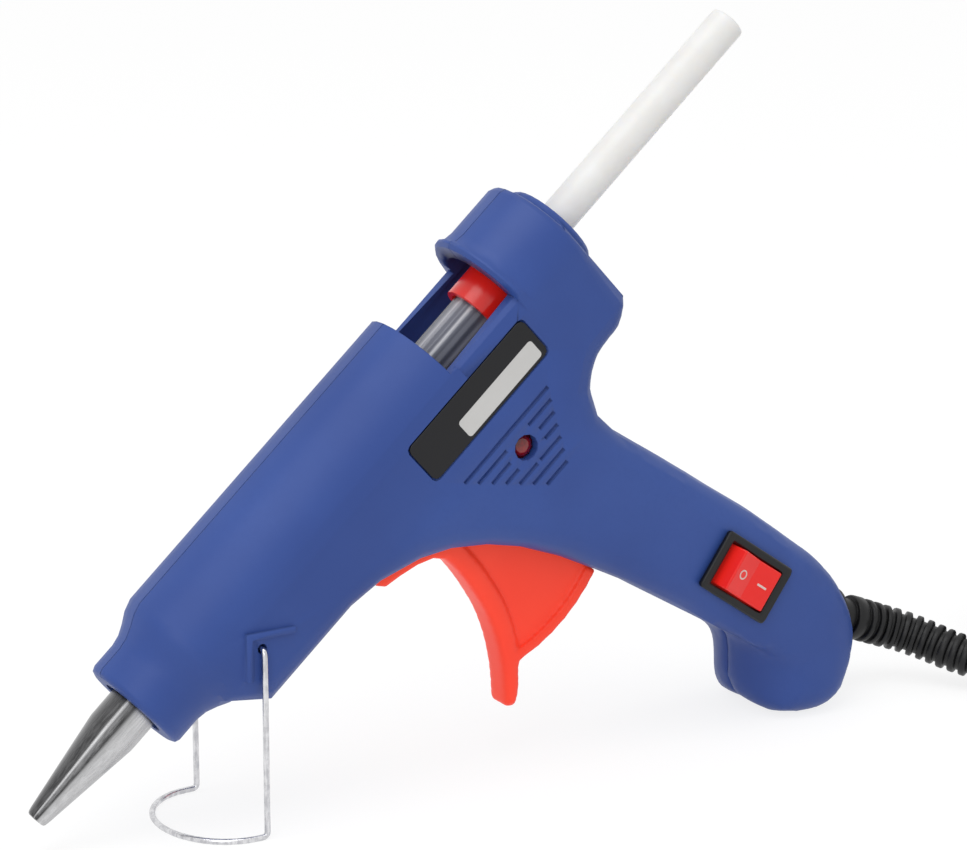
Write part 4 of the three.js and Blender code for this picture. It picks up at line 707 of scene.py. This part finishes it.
# %% [markdown]
# ## Cord tie
#
# A flat band of soft plastic goes round both runs at the hank's waist. It starts as one flat face with
# round corners. Only the face's outline is kept, extruded to the band's width and given a wall by solidify.

# %% Cord tie
TIE_AT, TIE_WIDTH, TIE_CORNER, TIE_WALL, TIE_SLACK, TIE_UNDER = 185.0, 6.0, 2.2, 0.3, 0.45, 0.4
cord_half = CORD_RADIUS / MM
tie_half = HANK_INNER + HANK_PITCH - HANK_WAIST + cord_half + TIE_SLACK
tie_low = HANK_LOW - cord_half - TIE_UNDER
tie_high = HANK_LOW + HANK_RISE * (HANK_TURNS - 1) + cord_half + TIE_SLACK


def band(half_wide, low, high, corner, thickness, at_x, width):
    """A rounded rectangular band round the X axis."""
    shape = rounded_face(2 * half_wide, high - low, corner, 6)
    bmesh.ops.delete(shape, geom=shape.faces[:], context="FACES_ONLY")
    loop = bmesh.ops.extrude_edge_only(shape, edges=shape.edges[:])["geom"]
    bmesh.ops.translate(shape, vec=(0, 0, width * MM), verts=only_verts(loop))
    bmesh.ops.recalc_face_normals(shape, faces=shape.faces)
    bmesh.ops.solidify(shape, geom=shape.faces[:], thickness=thickness * MM)
    upright = Matrix(((0, 0, 1, 0), (1, 0, 0, 0), (0, 1, 0, 0), (0, 0, 0, 1)))
    place = Matrix.Translation(Vector((at_x - width / 2, HANK_ACROSS, (low + high) / 2)) * MM) @ upright
    bmesh.ops.transform(shape, matrix=place, verts=shape.verts)
    bmesh.ops.recalc_face_normals(shape, faces=shape.faces)
    return shape


tie_skin = band(tie_half, tie_low, tie_high, TIE_CORNER, TIE_WALL, TIE_AT, TIE_WIDTH)
cord_tie = piece("tie_band", tie_skin, switch_black, "housing", ["cord_tie"])
print("tie", round(2 * tie_half, 1), "mm wide")

# %% [markdown]
# ## Plug
#
# The plug is a flat two-pin one. Its body keeps the CAD solid's form with rounder edges. Each pin is
# turned: a black sleeve over its inner half and bare plated brass with a rounded end outside it.

# %% Plug body and pins
PLUG_AT, PIN_OFFSET, SLEEVE_END = (206.3, 0.5, 29.7), 9.3, 0.0439
plug_place = Matrix.Translation(Vector(PLUG_AT) * MM)
plug_body = soften(piece("plug_housing", cad_skin("plug_body"), switch_black, "housing", ["plug_body"]), 0.0008)
for side, node in ((PIN_OFFSET, "plug_pin_left"), (-PIN_OFFSET, "plug_pin_right")):
    pin = spun([(29, 0), (29, 2.0), (43.8, 2.0), (44, 1.9), (51.2, 1.9), (52.2, 1.6), (52.8, 1.0), (53, 0)],
               32)
    for face in pin.faces:
        face.material_index = 1 if face.calc_center_median().x < SLEEVE_END else 0
    bmesh.ops.transform(pin, matrix=plug_place @ Matrix.Translation((0, side * MM, 0)), verts=pin.verts)
    piece(node + "_turned", pin, [brass, switch_black], "housing", [node])

# %% [markdown]
# ## Body shells
#
# The two half shells carry most of what one sees: the round nose, the barrel, the sight window, the ring
# round the stick, the grip, the vents and the raised angle at the stand's pivot. Those forms are in the CAD
# solid already. A copy of its skin is smoothed: its flat faces are joined, its shading is evened out by
# face area, and the material rounds the remaining sharp edges. The butt, the toe and the back of the grip
# are rounder than the solid's few faces, so there the skin is cut finer and rubbed round. The weights below
# say where, and leave the holes for the screws and the cord as they are. Last, the gap between the halves
# is drawn together to the hairline that a closed moulding shows.

# %% Shells
CORD_HOLE, CORD_ANGLE = Vector((135.2, 0.0, -108.0)), math.radians(-58.3)
SCREW_HOLES = ((118.5, -103.5), (138.4, -14.5))
SEAM_HALF, SEAM_REACH, SHELL_GRID = 0.06, 0.2, 1.6
table_to_gun = gun_to_table.inverted()
cord_axis = Vector((math.cos(CORD_ANGLE), 0.0, math.sin(CORD_ANGLE)))


def clear_of_holes(place):
    """0 round the screw holes and the cord's hole, whose edges stay crisp, and 1 away from them."""
    offset = place - CORD_HOLE
    share = smooth_step((offset - cord_axis * offset.dot(cord_axis)).length, 5.0, 8.0)
    for along, up in SCREW_HOLES:
        if place.y > 0:
            share = min(share, smooth_step(math.hypot(place.x - along, place.z - up), 3.2, 5.5))
    return share


def butt_share(point):
    """1 at the butt and the toe of the grip, and 0 above the switch."""
    place = table_to_gun @ point / MM
    return smooth_step(-place.z, 88.0, 96.0) * clear_of_holes(place)


def back_share(point):
    """1 at the back of the grip and at the spur above it, and 0 at the ring, the vents and the switch."""
    place = table_to_gun @ point / MM
    limit = 125.0 + 9.0 * smooth_step(-place.z, 45.0, 60.0)
    below_ring, behind = smooth_step(-place.z, 15.0, 18.0), smooth_step(place.x, limit, limit + 3.0)
    return below_ring * behind * clear_of_holes(place)


def close_seam(shape):
    """Brings the halves nearer: the CAD model leaves 0.3 mm between them, a moulder only a hairline."""
    for vert in shape.verts:
        away = vert.co.y - TIP.y
        if abs(away) < SEAM_REACH * MM:
            vert.co.y = TIP.y + math.copysign(SEAM_HALF * MM, away)
    return shape


for side in ("left", "right"):
    skin = close_seam(cad_skin(f"{side}_shell"))
    skin = rub_round(skin, butt_share, SHELL_GRID, 14, seam=SEAM_REACH)
    skin = rub_round(skin, back_share, SHELL_GRID, 12, seam=SEAM_REACH)
    shell = piece(f"{side}_moulding", skin, blue_shell, "housing", [f"{side}_shell"], crease=28,
                  level=True)
    print(shell.name, len(shell.data.polygons), "faces")

# %% [markdown]
# ## Trigger
#
# The trigger is one moulding: a curved finger face, a thin web and a rim, and a forked arm inside. The web
# is recessed between the finger face and the rim. Real mouldings have no knife edges, so the part that
# shows is rubbed round, as the shells are, and the part inside them is left as it is.

# %% Trigger
def finger_share(point):
    """1 on the part of the trigger that shows, and 0 inside the shells."""
    place = table_to_gun @ point / MM
    return smooth_step(-place.z, 27.0, 31.0)


TRIGGER_GRID = 0.9
trigger_skin = rub_round(cad_skin("trigger"), finger_share, TRIGGER_GRID, 6)
trigger = piece("trigger_moulding", trigger_skin, trigger_red, "trigger", ["trigger"],
                crease=40, level=True)
print(trigger.name, len(trigger.data.polygons), "faces")

# %% [markdown]
# ## Nozzle, guide tube and glue stick
#
# These are turned pieces: a half section spun about the barrel's axis. The nozzle's edges get small arcs,
# because light catches them. The clear tube has fine ridges along it, so its outer vertices are moved in
# and out by a wave round the axis. The stick ends in a slightly rounded cut.

# %% Turned pieces
nozzle = spun([(0.0, 0.9), (0.0, 1.5), (0.12, 1.78), (0.45, 1.98), (1.2, 2.14), (10, 3.38), (20.2, 4.8),
               (20.8, 4.85), (26, 4.87), (32.5, 4.87), (32.7, 4.7), (32.7, 3.55), (39, 3.55), (39, 2.5),
               (20.5, 2.5), (5, 0.9), (0.0, 0.9)], 96)
bmesh.ops.transform(nozzle, matrix=gun_to_table, verts=nozzle.verts)
piece("nozzle_cone", nozzle, nozzle_steel, "housing", ["nozzle"], crease=50)

TUBE_FRONT, TUBE_REAR, TUBE_RIDGES, RIDGE_HEIGHT = 92.7, 127.0, 18, 0.00009
tube = spun([(TUBE_FRONT, 4.1), (TUBE_FRONT, 4.6), (TUBE_REAR, 4.6), (TUBE_REAR, 4.1), (TUBE_FRONT, 4.1)],
            TUBE_RIDGES * 8)
for vert in tube.verts:
    across = Vector((0, vert.co.y, vert.co.z))
    if across.length > 0.0045:
        wave = RIDGE_HEIGHT * math.cos(TUBE_RIDGES * math.atan2(vert.co.z, vert.co.y))
        vert.co += across.normalized() * wave
bmesh.ops.transform(tube, matrix=gun_to_table, verts=tube.verts)
piece("ridged_tube", tube, clear_plastic, "housing", ["guide_tube"], crease=50)

stick = spun([(66, 0), (66, 3.2), (66.3, 3.5), (196.1, 3.5), (196.45, 3.38), (196.6, 3.1), (196.6, 0)], 64)
bmesh.ops.transform(stick, matrix=gun_to_table, verts=stick.verts)
piece("milky_stick", stick, glue_white, "stick", ["glue_stick"], crease=60)
print("turned pieces ready")

# %% [markdown]
# ## Feed collar, jaw and window
#
# Through the sight window one sees the red collar that grips the stick. It is a glossy moulding, so its
# rims are rounded enough to catch a line of light. The small toothed jaw below it is a stamped piece.

# %% Feed collar and jaw
soften(piece("feed_collar", cad_skin("feed_carriage"), collar_red, "carriage", ["feed_carriage"],
             crease=40), 0.0004)
soften(piece("bite_jaw", cad_skin("grip_jaw"), spring_steel, "jaw", ["grip_jaw"]), 0.0001, 2)
print("feed parts ready")

# %% [markdown]
# ## Label plate
#
# Under the window sits a black plate with soft corners and a pale printed field. The field is a layer of
# ink, so it is a tile a twentieth of a millimetre thick, made from one face with bevelled corners.

# %% Label plate
INK = 0.05
LABEL_FIELD_AT = (113.2, -13.28, -6.5)
label_print = moulded("label_black", srgb(15, 15, 21), srgb(11, 11, 16), 0.34, edge=0.0,
                      Specular_IOR_Level=SHEEN)
label_ink = moulded("label_white", srgb(214, 213, 211), srgb(203, 202, 200), 0.42, depth=0.00001, edge=0.0)
soften(piece("label_card", cad_skin("label_plate"), label_print, "housing", ["label_plate"]),
       0.00012, 2)


def rounded_tile(length, height, corner, thickness):
    """A flat tile with round corners, centred on the origin, with its face towards plus Z."""
    shape = rounded_face(length, height, corner, 5)
    grown = bmesh.ops.extrude_face_region(shape, geom=shape.faces[:])["geom"]
    bmesh.ops.translate(shape, vec=(0, 0, thickness * MM), verts=only_verts(grown))
    bmesh.ops.recalc_face_normals(shape, faces=shape.faces)
    return shape


LEFT_FACE = Matrix(((1, 0, 0, 0), (0, 0, -1, 0), (0, 1, 0, 0), (0, 0, 0, 1)))
field = rounded_tile(20.5, 4.1, 0.7, INK)
place = gun_to_table @ Matrix.Translation(Vector(LABEL_FIELD_AT) * MM) @ LEFT_FACE
bmesh.ops.transform(field, matrix=place, verts=field.verts)
piece("label_field", field, label_ink, "housing", [])
print("label ready")

# %% [markdown]
# ## Power lamp
#
# A small red light-emitting diode looks out of a hole among the vents. Its body is a short cylinder with a
# dome, moulded in clear red resin. It is spun, then turned to face out of the gun's left side.

# %% Power lamp
LAMP_AT = (109.4, -10.0, -19.2)
lamp_lens = Finish("lamp_lens", Roughness=0.12, Transmission_Weight=0.35, IOR=1.5, Coat_Weight=0.3)
depths = lamp_lens.ramp(lamp_lens.noise(500, 2), 0.3, 0.7)
lamp_lens.colour(lamp_lens.mix(depths, srgb(176, 20, 22), srgb(120, 8, 14)))
lens = spun([(0, 0), (0, 3.4), (1.0, 3.4), (1.0, 2.2), (1.35, 2.2), (1.75, 2.05), (2.15, 1.65), (2.42, 1.05),
             (2.55, 0)], 40)
outward = Matrix.Rotation(-math.pi / 2, 4, "Z")
place = gun_to_table @ Matrix.Translation(Vector(LAMP_AT) * MM) @ outward
bmesh.ops.transform(lens, matrix=place, verts=lens.verts)
piece("lamp_dome", lens, lamp_lens.material, "housing", ["power_lamp"], crease=60)
print("lamp ready")

# %% [markdown]
# ## Rocker switch
#
# The switch is a bought-in piece: a black frame with softly rounded edges and a glossy red rocker with a
# 0 and a bar. The frame and the rocker are the CAD solids with bevelled edges. The marks are thin raised
# ink: a ring drawn out to an oval, and a bar. Each is modelled flat, then laid on its slope of the rocker.

# %% Rocker switch
soften(piece("switch_frame", cad_skin("switch_body"), switch_black, "housing", ["switch_body"]), 0.0004)
soften(piece("rocker_cap", cad_skin("switch_rocker"), rocker_red, "rocker", ["switch_rocker"]),
       0.0003)
mark_ink = moulded("mark_ink", srgb(236, 214, 208), srgb(222, 190, 184), 0.4, depth=0.000005, edge=0.0)

GRIP_ANGLE, ROCKER_TILT = math.radians(-77), math.radians(9)
SWITCH_AT, SWITCH_OUT, MARK_AT = (124, 0, -76.3), -0.0111, 3.1
CAP_FACE, CAP_SLOPE, MARK_PROUD = -4.0, 0.2034, 0.01
rocker_place = (
    gun_to_table
    @ Matrix.Translation(Vector(SWITCH_AT) * MM)
    @ Matrix.Rotation(-GRIP_ANGLE, 4, "Y")
    @ Matrix.Translation((0, SWITCH_OUT, 0))
    @ Matrix.Rotation(ROCKER_TILT, 4, "Z")
)


def on_rocker(shape, down, slope):
    """Lays a flat mark on the rocker's face, so far from its pivot along the grip."""
    face = Matrix.Translation((down * MM, (CAP_FACE - abs(down) * CAP_SLOPE - MARK_PROUD) * MM, 0))
    lean = Matrix.Rotation(slope, 4, "Z")
    bmesh.ops.transform(shape, matrix=rocker_place @ face @ lean @ LEFT_FACE, verts=shape.verts)
    return shape


slope = math.atan(1.2 / 5.9)
ring = bmesh.new()
bmesh.ops.create_circle(ring, segments=40, radius=1.25 * MM, cap_ends=True)
bmesh.ops.inset_region(ring, faces=ring.faces[:], thickness=0.36 * MM, use_boundary=True)
bmesh.ops.delete(ring, geom=[face for face in ring.faces if len(face.verts) > 4], context="FACES")
grown = bmesh.ops.extrude_face_region(ring, geom=ring.faces[:])["geom"]
bmesh.ops.translate(ring, vec=(0, 0, INK * MM), verts=only_verts(grown))
bmesh.ops.scale(ring, vec=(1.0, 0.78, 1.0), verts=ring.verts)
bmesh.ops.recalc_face_normals(ring, faces=ring.faces)
print("zero ring faces", len(ring.faces))
piece("rocker_zero", on_rocker(ring, -MARK_AT, slope), mark_ink, "rocker", [])
bar = rounded_tile(2.4, 0.42, 0.1, INK)
piece("rocker_bar", on_rocker(bar, MARK_AT, -slope), mark_ink, "rocker", [])
print("switch ready")

# %% [markdown]
# ## Wire stand
#
# The stand is bent from plated wire a little over a millimetre thick: its ends spring into the shell, two
# legs drop to the table, and a round foot reaches forward. Wire is a curve's natural job: a line of points
# with a round bevel. Each bend is a short arc, because wire has no sharp corners.

# %% Wire stand
WIRE, WIRE_TAIL, WIRE_BEND = 0.56, 3.8, 1.4
HALF_BODY, SIDE_GAP = 13.3, 0.3
FOOT_START, FOOT_REACH, FOOT_STEPS = 2.2, 12.2, 24
HINGE = at(48.7, -4.3)
LEG_ACROSS = (HALF_BODY + SIDE_GAP + WIRE) * MM


def bent(points, radius, steps=6):
    """A line through corners, each replaced by a small arc of about that radius."""
    line = [points[0]]
    for before, corner, after in zip(points, points[1:], points[2:]):
        away, on = (before - corner), (after - corner)
        cut = min(radius, away.length * 0.45, on.length * 0.45)
        first, last = corner + away.normalized() * cut, corner + on.normalized() * cut
        for step in range(steps + 1):
            t = step / steps
            line.append(first * (1 - t) ** 2 + corner * 2 * t * (1 - t) + last * t**2)
    return [*line, points[-1]]


low = WIRE * MM
one_side = [Vector((HINGE.x, LEG_ACROSS - WIRE_TAIL * MM, HINGE.z)), Vector((HINGE.x, LEG_ACROSS, HINGE.z)),
            Vector((HINGE.x, LEG_ACROSS, low)), Vector((HINGE.x - FOOT_START * MM, LEG_ACROSS, low))]
leg = bent(one_side, WIRE_BEND * MM)
foot = []
for step in range(1, FOOT_STEPS):
    angle = math.pi * step / FOOT_STEPS
    reach = (FOOT_START + FOOT_REACH * math.sin(angle)) * MM
    foot.append(Vector((HINGE.x - reach, LEG_ACROSS * math.cos(angle), low)))
mirrored = [Vector((point.x, -point.y, point.z)) for point in reversed(leg)]
wire_route = [Vector((point.x, point.y + TIP.y, point.z)) for point in leg + foot + mirrored]

wire_data = bpy.data.curves.new("bent_wire", "CURVE")
wire_data.dimensions = "3D"
wire_data.bevel_depth = WIRE * MM
wire_data.bevel_resolution = 5
wire_data.use_fill_caps = True
wire_line = wire_data.splines.new("POLY")
wire_line.points.add(len(wire_route) - 1)
for point, place in zip(wire_line.points, wire_route):
    point.co = (*place, 1.0)
wire_data.materials.append(wire_steel)
bent_wire = linked("bent_wire", wire_data)
declare(bent_wire, "stand", ["wire_stand"])
print("stand of", len(wire_route), "points")

# %% [markdown]
# ## Screws and the inside
#
# Five case screws show their heads in deep holes on the right side. The pieces inside are seen only with a
# shell off or through the window, so they keep their CAD solids. They still get real finishes, because a
# reader may open the gun.

# %% Screws
for place in ("front", "middle", "rear", "grip", "butt"):
    soften(piece(f"screw_{place}", cad_skin(f"case_screw_{place}"), screw_steel, "housing",
                 [f"case_screw_{place}"], crease=50), 0.00012, 2, 60)
print("screws ready")

# %% Finishes for the pieces inside
inside = {
    "heating_chamber": chamber_metal,
    "heater_plate": ceramic,
    "heater_electrode_upper": brass,
    "heater_electrode_lower": brass,
    "heater_clip": spring_steel,
    "inlet_seal": silicone,
    "seal_clip": spring_steel,
    "jaw_pin": screw_steel,
    "trigger_pin": screw_steel,
    "return_spring": spring_steel,
    "switch_terminal_upper": brass,
    "switch_terminal_lower": brass,
    "lamp_board": board_green,
    "cord_clamp": switch_black,
    "clamp_screw_rear": screw_steel,
    "clamp_screw_front": screw_steel,
    "lead_live": brown_sleeve,
    "lead_neutral": blue_sleeve,
    "lead_switched": brown_sleeve,
    "lamp_lead_switched": brown_sleeve,
    "lamp_lead_neutral": blue_sleeve,
}
for node, material in inside.items():
    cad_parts[node].data.materials.clear()
    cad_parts[node].data.materials.append(material)
print("finished inside pieces:", len(inside))
